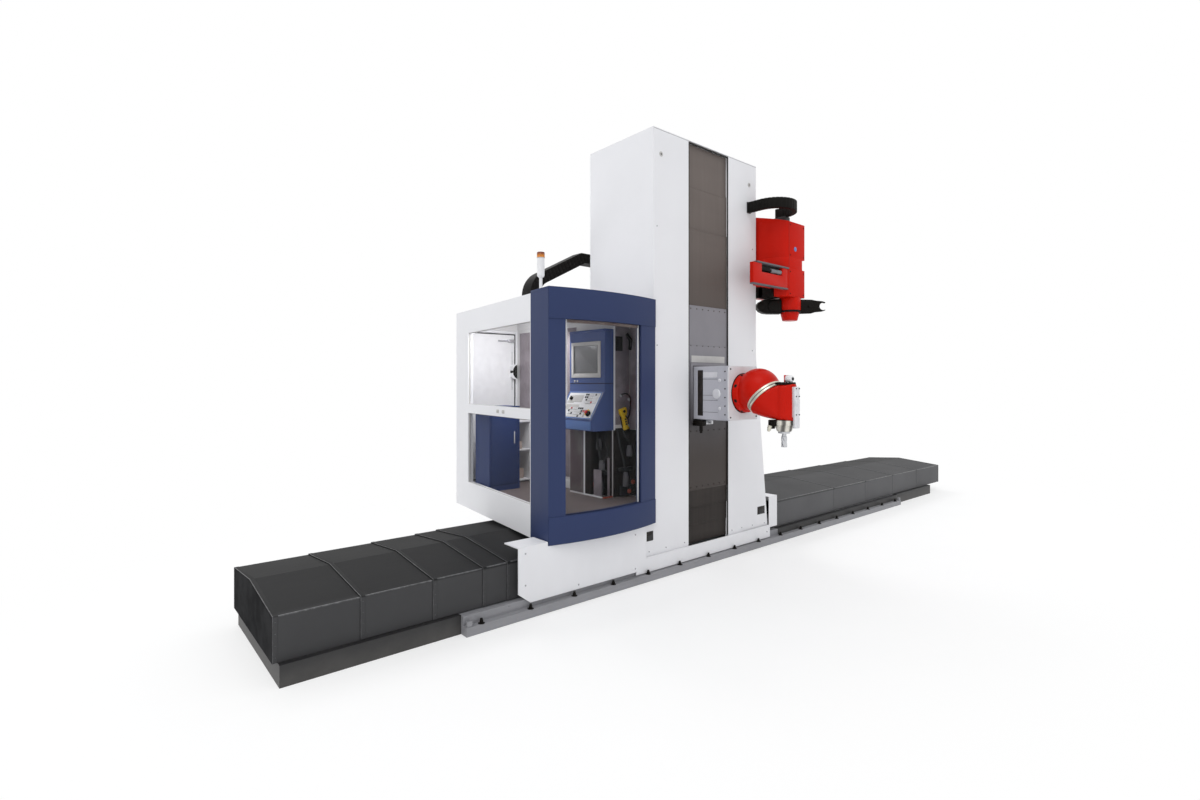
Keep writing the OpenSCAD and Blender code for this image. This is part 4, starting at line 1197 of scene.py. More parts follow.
class MILL_OT_cabin(bpy.types.Operator):
    """Header, sill, window seals, ceiling lamp and door furniture of the cabin, with painted shade
    in the front window's reveal and a painted shadow under its header
    """
    bl_idname = "mill.cabin"
    bl_label = "Cabin trim"
    bl_options = {"REGISTER", "UNDO"}

    bow = (-1.7315, 2.691, 2.821)  # middle and radius of the bowed front
    window = (-2.296, -1.271, 0.9, 2.842)
    corner = np.array([-2.475, -0.03, 0])  # foot of the side wall, and axes along, up, inwards
    lean = math.radians(82.67)
    side = np.array([[math.cos(lean), math.sin(lean), 0], Z,
                     [math.sin(lean), -math.cos(lean), 0]])

    def bowed(self, x0, x1, section):
        """A section of depth and height carried along the bowed front: at each X the face lies
        on the circle, and the depth is added to its radius."""
        x, y, radius = self.bow
        turn = np.linspace(math.asin((x0 - x) / radius), math.asin((x1 - x) / radius), 41)
        reach = radius + section[None, :, 0]
        points = np.stack([x + reach * np.sin(turn[:, None]), y - reach * np.cos(turn[:, None]),
                           np.broadcast_to(section[None, :, 1], (41, len(section)))], -1)
        return outward(surface(points))

    def execute(self, context):
        size = context.scene.mill_sizes
        bands = [self.bowed(-2.472, -0.992,
                            rounded((-0.004, low), (size.header_proud, high), 0.003, 3))
                 for low, high in ((2.838, 3.15), (0.627, 0.897))]
        cap = block((0.001, 3.12, -0.0015), (0.378, 3.15, 0.05), 0.003)
        pieces("column",
            ("cabin_header_sill", "blue_paint", *bands),
            ("cabin_corner_cap", "blue_paint", placed(cap, self.corner, self.side)))
        self.seals(size.seal)
        self.inside()
        self.outside()
        return {"FINISHED"}

    def upright(self, at, width, near, far, low, high, edge):
        """A strip that stands behind the bowed front, from near to far inside its face."""
        x, y, radius = self.bow
        depth = y - math.sqrt(radius ** 2 - (at - x) ** 2)
        return at, depth + near, low, at + width, depth + far, high, edge

    def seals(self, w):
        x0, x1, z0, z1 = self.window
        # The front pane's seal is a thin strip in the darkened cabin blue: painted shade in the
        # reveal of the frame.
        front = [self.bowed(x0, x1, rounded((-0.034, z), (-0.018, z + w), 0.0015, 2))
                 for z in (z0, z1 - w)]
        front += [self.upright(at, width, 0.016, 0.036, z0, z1, 0.0015)
                  for at, width in ((x0, w), (x1, -w))]
        sides = [placed(frame_band((0.39, low), (2.12, high), w, 0.016, 0.0015),
                        self.corner + 0.012 * self.side[2], self.side)
                 for low, high in ((0.955, 1.83), (1.94, 2.84))]
        strips = [self.upright(at, width, 0.037, 0.06, low, z1, 0.004)
                  for at, width, low in ((x0, 0.05, 2.0), (x1, -0.012, z0))]
        # A dark brown-grey band inside the top of the front window: painted shadow under the
        # header.
        edge = rounded((-0.075, z1 - 0.032), (-0.045, z1 + 0.02), 0.004, 2)
        pieces("column",
            ("front_window_seal", "dark_blue", *front),
            ("side_window_seals", "grey_plastic", *sides),
            ("window_inner_strips", "white_plastic", *strips),
            ("window_ceiling_edge", "brown_edge", self.bowed(x0 + 0.002, x1 - 0.002, edge)))

    def inside(self):
        lamps = solid((-2.0, 1.35, 3.04, -1.45, 1.75, 3.062, 0.008, 0.02),
                      (-2.0, 0.5, 3.04, -1.7, 1.0, 3.062, 0.008, 0.02))
        panel = piece("ceiling_lamps", lamps, "lamp_panel")
        light = lit("cabin_light", "AREA", (0, -0.55, 0.83), shape="RECTANGLE", size=0.7,
                    size_y=0.9, energy=27)
        light.parent, light.location, light.visible_camera = panel, (-1.8, 1.42, 3.0), False
        pieces("column",
            ("ceiling_trims", "grey_paint", (-2.14, 2.4, 2.93, -1.25, 2.425, 3.06, 0.004),
             (-1.262, 1.1, 2.95, -1.242, 2.42, 3.06, 0.004),
             (-1.262, 1.04, 0.882, -1.242, 2.42, 0.98, 0.004)),
            ("inner_wall_panels", "wall_paint",
             *[(-1.2465, y, 1.02, -1.241, y + 0.62, 2.9, 0.002, 0.01) for y in (1.08, 1.74)]))

    def outside(self):
        low, high = corners("cabin_door")
        moon = arc((-1.245, 2.363), 0.1065, 108.4, 251.6, 30)
        handles = [placed(prism(moon, 0, depth, 0.005), y * Y, FRONT)
                   for depth, y in ((0.0715, 2.44), (0.0415, 2.5215))]
        gasket = frame_band((low[0] + 0.004, low[2] + 0.004), (high[0] - 0.004, high[2] - 0.004),
                            0.016, 0.003, 0.001)
        pieces("door",
            ("door_handles", "black_plastic", *handles),
            ("door_slit", "dark_recess", (-1.3235, 2.4385, 2.11, -1.3185, 2.4405, 2.64, 0.0008)),
            ("door_gasket", "rubber", placed(gasket, 2.4398 * Y, FRONT)),
            ("door_closer", "ground_steel", (-1.4, 2.405, 2.77, -1.29, 2.4385, 2.815, 0.006),
             (-1.56, 2.412, 2.782, -1.39, 2.422, 2.802, 0.004)))
        hinge = lathe([(0.011, 0), (0.013, 0.004), (0.013, 0.056), (0.011, 0.06)], count=20)
        hinges = grid(-2.096, 2.488, (1.1, 1.9, 2.7))
        rear = [[x, 2.4905, z] for z in (0.68, 3.07) for x in np.linspace(-2.05, -1.05, 6)]
        latch = solid((-0.03, -0.02, 0, 0.03, 0.02, 0.006, 0.003),
                      (-0.02, -0.006, 0.005, 0.02, 0.006, 0.014, 0.003))
        latches = [self.corner + along * self.side[0] + 1.885 * Z for along in (1.05, 1.2)]
        pieces("column",
            ("door_hinges", "black_steel", scattered(hinge, hinges)),
            ("cabin_rear_screws", "ground_steel", screws(rear, Y)),
            ("side_bar_latches", "grey_plastic",
             scattered(latch, latches, self.side * ((-1,), (1,), (-1,)))))


class MILL_OT_console(bpy.types.Operator):
    """Screen glass and bezel, keys, handwheel and stop collar of the operator console"""
    bl_idname = "mill.console"
    bl_label = "Console"
    bl_options = {"REGISTER", "UNDO"}

    face = np.array([-Y, Z, -X])
    middle = np.array([-1.486, 0.7, 1.945])
    slope = np.array([-Y, unit([0.2, 0, 0.33]), unit([-0.33, 0, 0.2])])  # across, up, out
    panel = 0.0082  # how far the slope's panel face lies above its middle

    def on_slope(self, across, up, lift, part):
        """A part on the keyboard slope, measured from the middle of the slope."""
        place = self.middle + np.array([across, up, lift]) @ self.slope
        return placed(solid(part), place, self.slope)

    def execute(self, context):
        low, high = corners("console_screen")
        (x, y0, z0), (_, y1, z1) = low, high
        bezel = frame_band((-y1, z0), (-y0, z1), 0.042, 0.012, 0.004)
        glass = prism(rounded((-y1 + 0.04, z0 + 0.045), (-y0 - 0.04, z1 - 0.04), 0.006), 0,
                      0.004, 0.001)
        key = block((-0.012, -0.009, 0), (0.012, 0.009, 0.006), 0.002)
        keys = [placed(key, (x + 0.003, y, z0 + 0.022), self.face)
                for y in np.linspace(y0 + 0.06, y1 - 0.06, 10)]
        pieces("column",
            ("screen_bezel", "grey_plastic", placed(bezel, (x + 0.003) * X, self.face)),
            ("screen_glass", "screen", placed(glass, (x + 0.0085) * X, self.face)),
            ("screen_keys", "white_plastic", *keys))
        self.keyboard()
        self.housing_trim()
        return {"FINISHED"}

    def key_caps(self, upper, lower):
        """Thin caps on keys named by row and column in the upper and in the lower field."""
        cap = (-0.0118, -0.0112, 0, 0.0118, 0.0112, 0.0025, 0.001)
        pitch, key_top = 0.034, 0.0128
        places = [(0.2485 - pitch * c, 0.037 + pitch * r) for r, c in upper]
        places += [(0.1165 - pitch * c, -0.147 + pitch * r) for r, c in lower]
        return [self.on_slope(*place, key_top, cap) for place in places]

    def keyboard(self):
        rim = frame_band((-0.3, -0.178), (0.3, 0.178), 0.014, 0.012, 0.003)
        dark = self.key_caps(((1, 5), (2, 5), (3, 5), (3, 1), (2, 6), (3, 6)),
                             ((0, 2), (1, 1), (2, 1), (3, 1), (3, 2), (1, 6), (3, 3), (2, 8)))
        pale = self.key_caps([(r, c) for r in range(4) for c in (0, 3, 4)],
                             [(r, c) for r in (0, 1) for c in (3, 4, 5, 7)])
        fields = [self.on_slope(across, up, self.panel, (-w, -h, 0, w, h, 0.0012, 0.0005, 0.004))
                  for across, up, w, h in ((-0.14, -0.03, 0.13, 0.036), (0.13, 0.085, 0.05, 0.07),
                                           (0.06, -0.11, 0.1, 0.045), (-0.2, 0.075, 0.06, 0.05))]
        display = self.on_slope(-0.09, 0.085, self.panel,
                                (-0.09, -0.045, 0, 0.09, 0.045, 0.004, 0.002, 0.006))
        wheel = lathe([(0.03, 0), (0.033, 0.003), (0.033, 0.016), (0.03, 0.02), (0.02, 0.021),
                       (0.018, 0.017), (0.002, 0.017)], count=40)
        collar = lathe([(0.041, 0), (0.041, 0.002), (0.038, 0.0035), (0.026, 0.002), (0.026, 0)],
                       count=40, closed=True)
        across, up, _ = self.slope @ (sum(corners("emergency_stop")) / 2 - self.middle)
        pieces("column",
            ("keyboard_rim", "light_blue", self.on_slope(0, 0, 0.001, rim)),
            ("console_lip", "light_blue", (-1.5935, 0.392, 1.672, -1.5885, 1.022, 1.772, 0.002)),
            ("dark_keys", "black_plastic", *dark),
            ("red_keys", "red_plastic", *self.key_caps(((0, 2),), ((2, 0), (3, 7)))),
            ("pale_keys", "white_plastic", *pale),
            ("keyboard_fields", "grey_plastic", *fields),
            ("keyboard_display", "grey_plastic", display),
            ("handwheel", "black_plastic", self.on_slope(0.225, -0.11, 0.009, wheel)),
            ("stop_collar", "yellow_plastic", self.on_slope(across, up, self.panel, collar)))

    def housing_trim(self):
        near, far = (corner[1] for corner in corners("console_housing"))
        sockets = [lathe([(0.014, 0), (0.014, 0.004), (0.01, 0.008), (0.002, 0.008)],
                         (-1.3865, y, 2.228), -X, 20) for y in (0.93, 0.88)]
        pieces("column",
            ("console_seam", "dark_recess",
             (-1.3885, near - 0.001, 2.196, -1.3855, far, 2.206, 0.001),
             (-1.3885, near + 0.001, 2.198, -1.245, near - 0.0025, 2.204, 0.001)),
            ("console_crown", "console_paint",
             (-1.4, near + 0.006, 2.8, -1.37, far - 0.006, 2.829, 0.008),
             (-1.59, near + 0.02, 1.7, -1.583, far - 0.02, 1.76, 0.003)),
            ("console_sockets", "grey_plastic", *sockets))


class MILL_OT_goods(bpy.types.Operator):
    """What stands and hangs in the cabin: drawers, shelf, pendant, hoses and valves"""
    bl_idname = "mill.goods"
    bl_label = "Cabin goods"
    bl_options = {"REGISTER", "UNDO"}

    floor = 0.884  # height of the cabin floor

    def execute(self, context):
        hose = context.scene.mill_sizes.hose
        self.drawers()
        self.shelf()
        self.wall(hose)
        self.pendant()
        self.recess(hose)
        return {"FINISHED"}

    def drawers(self):
        (x0, y0, z0), (x1, y1, z1) = corners("tool_cabinet")
        levels = (0.95, 1.185, 1.42, 1.655)
        fronts = [(x1 - 0.007, y0 + 0.022, z + 0.003, x1 + 0.001, y1 - 0.022, z + 0.202, 0.004,
                   0.008) for z in levels]
        pulls = [(x1, y0 + 0.07, z + 0.155, x1 + 0.016, y1 - 0.07, z + 0.17, 0.005)
                 for z in levels]
        top = (x0 - 0.004, y0 - 0.004, z1 - 0.004, x1 + 0.004, y1 + 0.004, z1 + 0.012, 0.004, 0.01)
        pieces("column",
            ("drawer_fronts", "cabinet_paint", *fronts, top,
             (x0 + 0.03, y0 - 0.003, z0 + 0.07, x1 - 0.03, y0 + 0.004, z1 - 0.04, 0.004, 0.01)),
            ("drawer_pulls", "ground_steel", *pulls,
             (x1 - 0.09, y0 - 0.02, 1.45, x1 - 0.075, y0 - 0.002, 1.6, 0.005)))

    def shelf(self):
        pieces("column",
            ("cabin_shelf", "white_paint",
             *[(-1.66, 2.0, z, -1.3, 2.36, z + 0.018, 0.003) for z in (0.9, 1.3, 1.68)],
             *[(x, 2.0, self.floor, x + 0.016, 2.36, 1.7, 0.003) for x in (-1.66, -1.316)],
             (-1.65, 2.345, self.floor, -1.31, 2.358, 1.69, 0.003)),
            ("shelf_boxes", "shelf_boxes", (-1.62, 2.05, 0.92, -1.5, 2.3, 1.12, 0.008),
             (-1.47, 2.08, 0.92, -1.36, 2.3, 1.05, 0.008),
             (-1.6, 2.06, 1.32, -1.4, 2.28, 1.42, 0.008)))

    def wall(self, hose):
        arm = smooth_path([(-1.06, 0.37, 2.78), (-1.03, 0.34, 2.72), (-1.02, 0.35, 2.66),
                           (-1.0, 0.37, 2.6)], 30)
        loop = smooth_path([(-1.135, 0.372, 2.06), (-1.15, 0.345, 2.075), (-1.11, 0.315, 2.08),
                            (-1.06, 0.31, 2.04), (-1.035, 0.33, 1.96), (-1.04, 0.335, 1.86),
                            (-1.075, 0.33, 1.8), (-1.115, 0.335, 1.825)], 90)
        gland = lathe([(0.02, 0), (0.02, 0.012), (0.014, 0.022)], (-1.135, 0.386, 2.06), -Y, 20)
        pieces("column",
            ("wall_panel", "wall_paint", (-1.222, 0.385, 1.72, -1.0, 0.3915, 3.0, 0.002, 0.01)),
            ("wall_socket_box", "dark_recess",
             (-1.225, 0.38, 2.58, -1.11, 0.39, 2.75, 0.004, 0.006),
             (-1.2, 0.372, 2.61, -1.13, 0.382, 2.72, 0.004, 0.01)),
            ("wall_lower_covers", "dark_recess",
             (-1.2515, 0.378, self.floor, -1.226, 0.393, 1.658, 0.003),
             (-0.9965, 0.03, self.floor, -0.9905, 0.386, 1.66, 0.003)),
            ("wall_side_cover", "wall_paint",
             (-0.9965, 0.03, 1.664, -0.9905, 0.386, 3.03, 0.003)),
            ("wall_edge", "white_paint", (-1.2505, 0.3785, 1.66, -1.226, 0.393, 3.04, 0.004)),
            ("upper_hose", "black_plastic", tube(arm, 0.02, 14, 0.1, 0.016)),
            ("pendant_cable", "rubber", tube(loop, hose * 0.8, 12, 0.12, 0.01)),
            ("cable_entry", "ground_steel", gland,
             (-1.03, 0.355, 1.99, -0.992, 0.391, 2.03, 0.006)))

    def pendant(self):
        """A hand pendant in its holder: a waisted outline with a square head, turned a little
        off the upright."""
        half = np.array([(0.036, -0.135), (0.04, -0.12), (0.027, -0.09), (0.026, 0.02),
                         (0.05, 0.06), (0.052, 0.11), (0.044, 0.122)])
        shell = prism(np.vstack([half, half[::-1] * (-1, 1)]), 0, 0.045, 0.009)
        tilt = math.radians(14)
        basis = np.array([[math.cos(tilt), 0, math.sin(tilt)],
                          [-math.sin(tilt), 0, math.cos(tilt)], -Y])
        knob = lathe([(0.016, 0.044), (0.016, 0.056), (0.012, 0.06), (0.002, 0.06)],
                     (0, 0.085, 0), Z, 20)
        buttons = [(-0.012, y, 0.044, 0.012, y + 0.02, 0.05, 0.002)
                   for y in (-0.02, -0.05, -0.08)]
        for name, finish, shape in (
                ("pendant_shell", "yellow_plastic", shell),
                ("pendant_buttons", "black_plastic", solid(knob, *buttons)),
                ("pendant_holder", "dark_paint",
                 block((-0.03, -0.11, -0.014), (0.03, 0.05, 0.002), 0.003))):
            piece(name, placed(shape, (-1.115, 0.375, 1.795), basis), finish)

    def recess(self, hose):
        valves = [lathe([(0.02, 0), (0.034, 0.006), (0.034, h * 0.7), (0.026, h * 0.78),
                         (0.026, h), (0.02, h + 0.008)], (x, y, z), Z, 24)
                  for x, y, z, h in ((-1.31, 0.55, 0.9, 0.2), (-1.33, 0.5, 1.2, 0.1),
                                     (-1.29, 0.6, 1.42, 0.12), (-1.1, 0.34, 1.0, 0.16),
                                     (-1.05, 0.33, 1.35, 0.12))]
        routes = ((1.4, (-1.31, 0.6, 1.64), (-1.34, 0.56, 1.5), (-1.34, 0.52, 1.36),
                   (-1.31, 0.55, 1.22), (-1.31, 0.55, 1.1)),
                  (1.0, (-1.28, 0.5, 1.64), (-1.31, 0.46, 1.52), (-1.29, 0.45, 1.4),
                   (-1.33, 0.47, 1.28)),
                  (1.3, (-1.2, 0.37, 1.66), (-1.2, 0.33, 1.5), (-1.15, 0.32, 1.32),
                   (-1.1, 0.34, 1.16)),
                  (1.1, (-1.12, 0.37, 1.67), (-1.11, 0.33, 1.58), (-1.06, 0.32, 1.52),
                   (-1.05, 0.33, 1.46)))
        hoses = [tube(smooth_path(route, 48), hose * scale, 12, 0.07, 0.012)
                 for scale, *route in routes]
        handles = [lathe([(0.022, 0), (0.026, 0.004), (0.026, 0.016), (0.022, 0.02),
                          (0.004, 0.02)], at, axis, 20)
                   for at, axis in (((-1.34, 0.6, 1.03), (-1, -0.3, 0)),
                                    ((-1.34, 0.66, 1.0), (-1, -0.3, 0)),
                                    ((-1.02, 0.31, 1.05), -Y), ((-1.08, 0.31, 0.95), -Y))]
        pieces("column",
            # Near-black sheets at the back of the recesses beside the console: painted shade.
            ("recess_backs", "dark_recess",
             (-1.2495, 0.42, self.floor, -1.2415, 1.02, 1.655, 0.002),
             (-1.226, 0.384, self.floor, -0.995, 0.3915, 1.68, 0.002),
             (-1.388, 0.634, 0.9, -1.3815, 0.737, 1.65, 0.002),
             (-1.38, 0.6325, 0.9, -1.245, 0.6395, 1.65, 0.002)),
            ("pedestal_cover", "pedestal", (-1.3885, 0.758, 0.9, -1.3815, 1.026, 1.655, 0.002)),
            ("recess_pale_sheets", "white_paint",
             (-1.394, 0.735, 0.882, -1.372, 0.76, 1.66, 0.003),
             (-1.39, 0.44, 0.8815, -1.37, 0.76, 0.897, 0.004)),
            ("recess_grey_sheets", "wall_paint", (-1.3, 0.425, 0.882, -1.27, 0.44, 1.34, 0.004),
             (-1.372, 0.46, 0.9, -1.366, 0.6, 1.2, 0.003)),
            ("recess_valves", "grey_steel", *valves),
            ("recess_hoses", "rubber", *hoses),
            ("recess_brackets", "dark_paint", (-1.33, 0.44, 1.14, -1.25, 0.62, 1.19, 0.006),
             (-1.19, 0.33, 1.18, -1.0, 0.383, 1.22, 0.006),
             (-1.17, 0.35, 0.885, -1.02, 0.383, 1.0, 0.006)),
            ("recess_handles", "orange_paint", *handles,
             (-1.385, 0.4, 0.8815, -1.245, 0.424, 0.897, 0.004)))


class MILL_OT_signal(bpy.types.Operator):
    """The signal light on the cabin roof: pole, ribbed tube, amber lens and cap"""
    bl_idname = "mill.signal"
    bl_label = "Signal light"
    bl_options = {"REGISTER", "UNDO"}

    def execute(self, context):
        low, high = corners("stack_light")
        tall = high[2] - low[2]
        ribs = [(0.0405 + 0.0006 * (k % 2), 0.27 + 0.009 * k) for k in range(20)]
        for name, finish, count, stands_for, profile in (
                ("signal_pole", "white_plastic", 40, ("stack_light",),
                 ((0.036, 0.004), (0.036, 0.012), (0.026, 0.018), (0.019, 0.024),
                  (0.018, 0.03), (0.018, 0.25), (0.012, 0.254))),
                ("signal_tube", "white_plastic", 48, (),
                 ((0.024, 0.245), (0.032, 0.25), (0.04, 0.262), *ribs, (0.0405, 0.456),
                  (0.02, 0.458))),
                ("signal_lens", "amber_lens", 48, (),
                 ((0.02, 0.457), (0.041, 0.4575), (0.043, 0.46), (0.0435, 0.466),
                  (0.0435, 0.514), (0.04, 0.521), (0.03, tall - 0.001), (0.004, tall))),
                ("signal_seat", "grey_plastic", 48, (),
                 ((0.03, 0.455), (0.0425, 0.4555), (0.0445, 0.458), (0.0445, 0.462),
                  (0.042, 0.464), (0.03, 0.464)))):
            foot = ((low[0] + high[0]) / 2, (low[1] + high[1]) / 2, low[2])
            piece(name, lathe(profile, foot, Z, count), finish, stands_for=stands_for)
        return {"FINISHED"}


class MILL_OT_chains(bpy.types.Operator):
    """Links, cores and brackets of the two cable chains"""
    bl_idname = "mill.chains"
    bl_label = "Cable chains"
    bl_options = {"REGISTER", "UNDO"}

    def stations(self, path, pitch):
        """Even stations about one pitch apart: their places and directions on the path, read
        between its points by the distance travelled, and their exact spacing."""
        covered = travelled(path)
        spacing = covered[-1] / round(covered[-1] / pitch)
        at = np.arange(spacing / 2, covered[-1], spacing)
        places, ways = [np.column_stack([np.interp(at, covered, part) for part in rows.T])
                        for rows in (path, np.gradient(path, axis=0))]
        return places, unit(ways), spacing

    def links(self, path, height, size):
        """Link plates on both sides of the chain: a waisted outline as high as the chain, at
        every pitch with its long side along the path."""
        places, ways, spacing = self.stations(path, size.chain_pitch)
        half = np.array([(-1, -0.82), (-0.7, -1), (0.7, -1), (1, -0.82)])
        outline = np.vstack([half, -half]) * ((spacing - size.link_gap) / 2, height / 2)
        plate = prism(outline, 0, 0.014, 0.003, 2)
        return [placed(plate, point + shift * Y, np.array([along, np.cross(Y, along), Y]))
                for point, along in zip(places, ways) for shift in (-0.1, 0.086)]

    def flat_links(self, path, tall, size):
        """Upright links of the flat chain: rounded slabs as tall as the band, turned to the
        path at every pitch."""
        places, ways, spacing = self.stations(path, size.flat_pitch)
        half = np.array([spacing * 0.47, 0.0295, tall / 2 - 0.001])
        link = block(-half, half, 0.003, 0.008)
        return [placed(link, point, np.array([along, np.cross(Z, along), Z]))
                for point, along in zip(places, ways)]

    def execute(self, context):
        self.arch(context.scene.mill_sizes)
        self.flat_u(context.scene.mill_sizes)
        return {"FINISHED"}

    def arch(self, size):
        """Up from the roof, round the bend, up the slope and level: the lower and the upper
        edge of the band are two paths read at the same steps, and its section is carried
        between them."""
        low, high = corners("cable_chain")
        slope, length = 27.5, 0.69  # of the straight stretch that climbs
        climb = length * np.array([math.cos(math.radians(slope)), math.sin(math.radians(slope))])
        edges = []
        for radius in (0.1915, 0.3335):
            bend = arc((-1.48, 3.272), radius, 180, 90 + slope, 23)
            knee = bend[-1] + climb
            edges.append(np.vstack([
                np.linspace((bend[0, 0], low[2] + 0.004), (bend[0, 0], 3.268), 7), bend,
                np.linspace(bend[-1], knee, 26)[1:],
                np.linspace(knee, (high[0] - 0.001, knee[1]), 16)[1:]]))
        under, over = edges
        middle = low[1] + 0.23
        ring = [np.insert(under + v * (over - under), 1, middle + u, axis=1)
                for u, v in rounded((-0.0975, 0.005), (0.0975, 0.995), 0.02, 2)]
        path = np.insert((under + over) / 2, 1, middle, axis=1)
        level = 7 + 24 + 25  # points before the chain runs level
        chain = join(outward(surface(np.stack(ring, 1))), *self.links(path[:level], 0.108, size),
                     *self.links(path[level - 1:], 0.096, size))
        piece("cable_chain_links", chain, "black_plastic", crease=30,
              stands_for=("cable_chain",))
        pieces("column",
            ("cable_chain_brackets", "dark_paint",
             (-0.606, 1.118, 3.765, -0.5, 1.262, 3.88, 0.006, 0.012),
             (-0.63, 1.11, 3.745, -0.476, 1.13, 3.9, 0.003),
             (-1.84, 1.235, 3.12, -1.645, 1.465, 3.136, 0.005, 0.01)))

    def flat_u(self, size):
        """Out of the column, half a circle round and back on to the tool changer: a closed
        band with low upright links on it."""
        low, high = corners("changer_chain")
        x, y, radius = 1.099, -0.19, 0.28
        flat = np.vstack([np.linspace((x - radius, -0.002), (x - radius, y + 0.01), 8),
                          arc((x, y), radius, 180, 360, 49),
                          np.linspace((x + radius, y + 0.01), (x + radius, -0.062), 6)])
        path = np.insert(flat, 2, (low[2] + high[2]) / 2, axis=1)
        across = unit(np.gradient(flat, axis=0)) @ np.array([[0, 1], [-1, 0]])
        ring = [np.insert(flat + u * across, 2, v, axis=1) for u, v in
                rounded((-0.0275, low[2] + 0.003), (0.0275, high[2] - 0.003), 0.008, 2)]
        chain = join(outward(surface(np.stack(ring, 1))),
                     *self.flat_links(path, high[2] - low[2], size))
        piece("changer_chain_links", chain, "black_plastic",
              ("column", "changer", (x - radius, y, 4.5), (x + radius, y, 4.5)), crease=30,
              stands_for=("changer_chain",))
        anchor = block((0.78, -0.012, low[2] - 0.004), (0.858, -0.001, high[2] + 0.004), 0.003)
        piece("changer_chain_anchor", anchor, "dark_paint")


class MILL_OT_changer(bpy.types.Operator):
    """The tool changer: housing with a rounded flank, shift box, rotor and gripper arms"""
    bl_idname = "mill.changer"
    bl_label = "Tool changer"
    bl_options = {"REGISTER", "UNDO"}

    hub = np.array([1.376, -0.274, 0])
    root = 0.134  # distance from the hub at which the arms start and the bolts sit

    def execute(self, context):
        self.housing()
        self.shift_box()
        self.rotor()
        self.arms()
        return {"FINISHED"}

    def housing(self):
        """Plan outline whose left flank is a curve of the second degree between the back edge
        and the front, carried up in three stretches so that the notch stays open; the top of
        the last one slopes."""
        t = np.linspace(0, 1, 17)[:, None]
        flank = ((1 - t) ** 2 * (1.018, 0.0) + 2 * t * (1 - t) * (1.03, -0.33)
                 + t ** 2 * (1.154, -0.4))
        parts = [prism(np.vstack([(1.018, 0.56), flank, (right, -0.4), (right, 0.1),
                                  (1.062, 0.1), (1.062, 0.56)]), low, high, edge)
                 for right, low, high, edge in ((1.534, 3.355, 3.728, 0.006),
                                                (1.474, 3.722, 3.87, 0.002),
                                                (1.534, 3.864, 4.4, 0.008))]
        top = parts[2][0]
        share = (top[:, 2] - top[:, 2].min()) / np.ptp(top[:, 2])
        top[:, 2] += share * (0.25 * (top[:, 1] + 0.4) - 0.055)
        piece("changer_body", join(*parts), "red_paint", "changer", crease=35,
              stands_for=("changer_housing",))
        seam = roof_band(np.array([[-0.4015, 4.33], [-0.4015, 3.36]]), 1.1535, 1.1555,
                         -0.0014, 0.0, 0.0005)
        plug = lathe([(0.03, -0.001), (0.03, 0.0025), (0.026, 0.004), (0.002, 0.004)],
                     (1.305, -0.4, 3.99), -Y, 32)
        front = grid((1.185, 1.505), -0.4, (3.39, 3.68, 3.9, 4.3))
        flat = grid(1.534, (-0.36, 0.06), (3.4, 3.68, 3.92, 4.29))
        pieces("changer",
            ("changer_chain_shoe", "dark_paint", (1.3, -0.25, 4.34, 1.42, -0.06, 4.466, 0.006)),
            ("changer_seams", "dark_paint", seam),
            ("changer_plug", "light_blue", plug),
            ("changer_screws", "black_steel", screws(front, -Y)),
            ("changer_side_screws", "black_steel", screws(flat, X)))

    def shift_box(self):
        """A long box across the column with a window in its upper edge, dark sheets above and
        below it and the shifting cylinder behind the window."""
        foot, sill, top = 3.45, 3.6, 3.705
        outline = [(0.36, foot), (1.12, foot), (1.12, top), (1.0, top), (1.0, sill),
                   (0.542, sill), (0.542, top), (0.36, top)]
        lid = [(0.434, -0.408), (1.146, -0.408), (1.146, -0.19), (0.68, -0.19), (0.434, -0.35)]
        rod = lathe([(0.012, 0), (0.0285, 0.002), (0.0285, 0.09), (0.025, 0.094),
                     (0.025, 0.14), (0.029, 0.145), (0.029, 0.222), (0.02, 0.226)],
                    (0.772, -0.366, 3.645), X, 40)
        stem = lathe([(0.018, 0), (0.02, 0.003), (0.02, 0.226), (0.014, 0.23)],
                     (0.543, -0.366, 3.64), X, 28)
        pieces("changer",
            ("shift_box", "red_paint", placed(prism(outline, 0, 0.055, 0.006), -0.345 * Y, FRONT),
             (0.63, -0.346, 3.46, 1.11, -0.2, 3.594, 0.006)),
            ("shift_box_plates", "grey_steel", prism(lid, top, 3.727, 0.004),
             (0.35, -0.408, 3.434, 1.13, -0.35, 3.45, 0.004, 0.01)),
            # Near-black sheets inside the box's window: painted shade.
            ("shift_box_back", "dark_recess", (0.5, -0.3465, 3.596, 1.05, -0.34, 3.7045, 0.003),
             (0.68, -0.342, 3.596, 1.05, -0.2, 3.7045, 0.003)),
            ("shift_cylinder", "cast_iron", rod),
            ("shift_stem", "black_steel", stem),
            ("shift_drive", "black_steel", (1.0, -0.24, 3.345, 1.2, -0.02, 3.49, 0.012),
             (1.0, -0.1, 3.352, 1.03, 0.57, 3.5, 0.006)))

    def rotor(self):
        drum = [lathe(profile, self.hub, Z, 96) for profile in (
            ((0.05, 3.18), (0.139, 3.182), (0.142, 3.186), (0.142, 3.348), (0.139, 3.3545),
             (0.05, 3.3545)),
            ((0.06, 3.05), (0.094, 3.05), (0.1, 3.056), (0.125, 3.158), (0.125, 3.165),
             (0.06, 3.165)))]
        piece("rotor_drum", join(*drum), "red_paint", "changer_arm",
              stands_for=("changer_rotor",))
        band = lathe([(0.1, 3.16), (0.145, 3.161), (0.148, 3.165), (0.148, 3.18),
                      (0.145, 3.185), (0.1, 3.186)], self.hub, Z, 96)
        bolts = self.hub + np.column_stack([self.root * spokes(12), np.full(12, 3.161)])
        pieces("changer_arm",
            ("rotor_band", "black_steel", band),
            ("rotor_bolts", "grey_steel", screws(bolts, -Z, 0.006)))

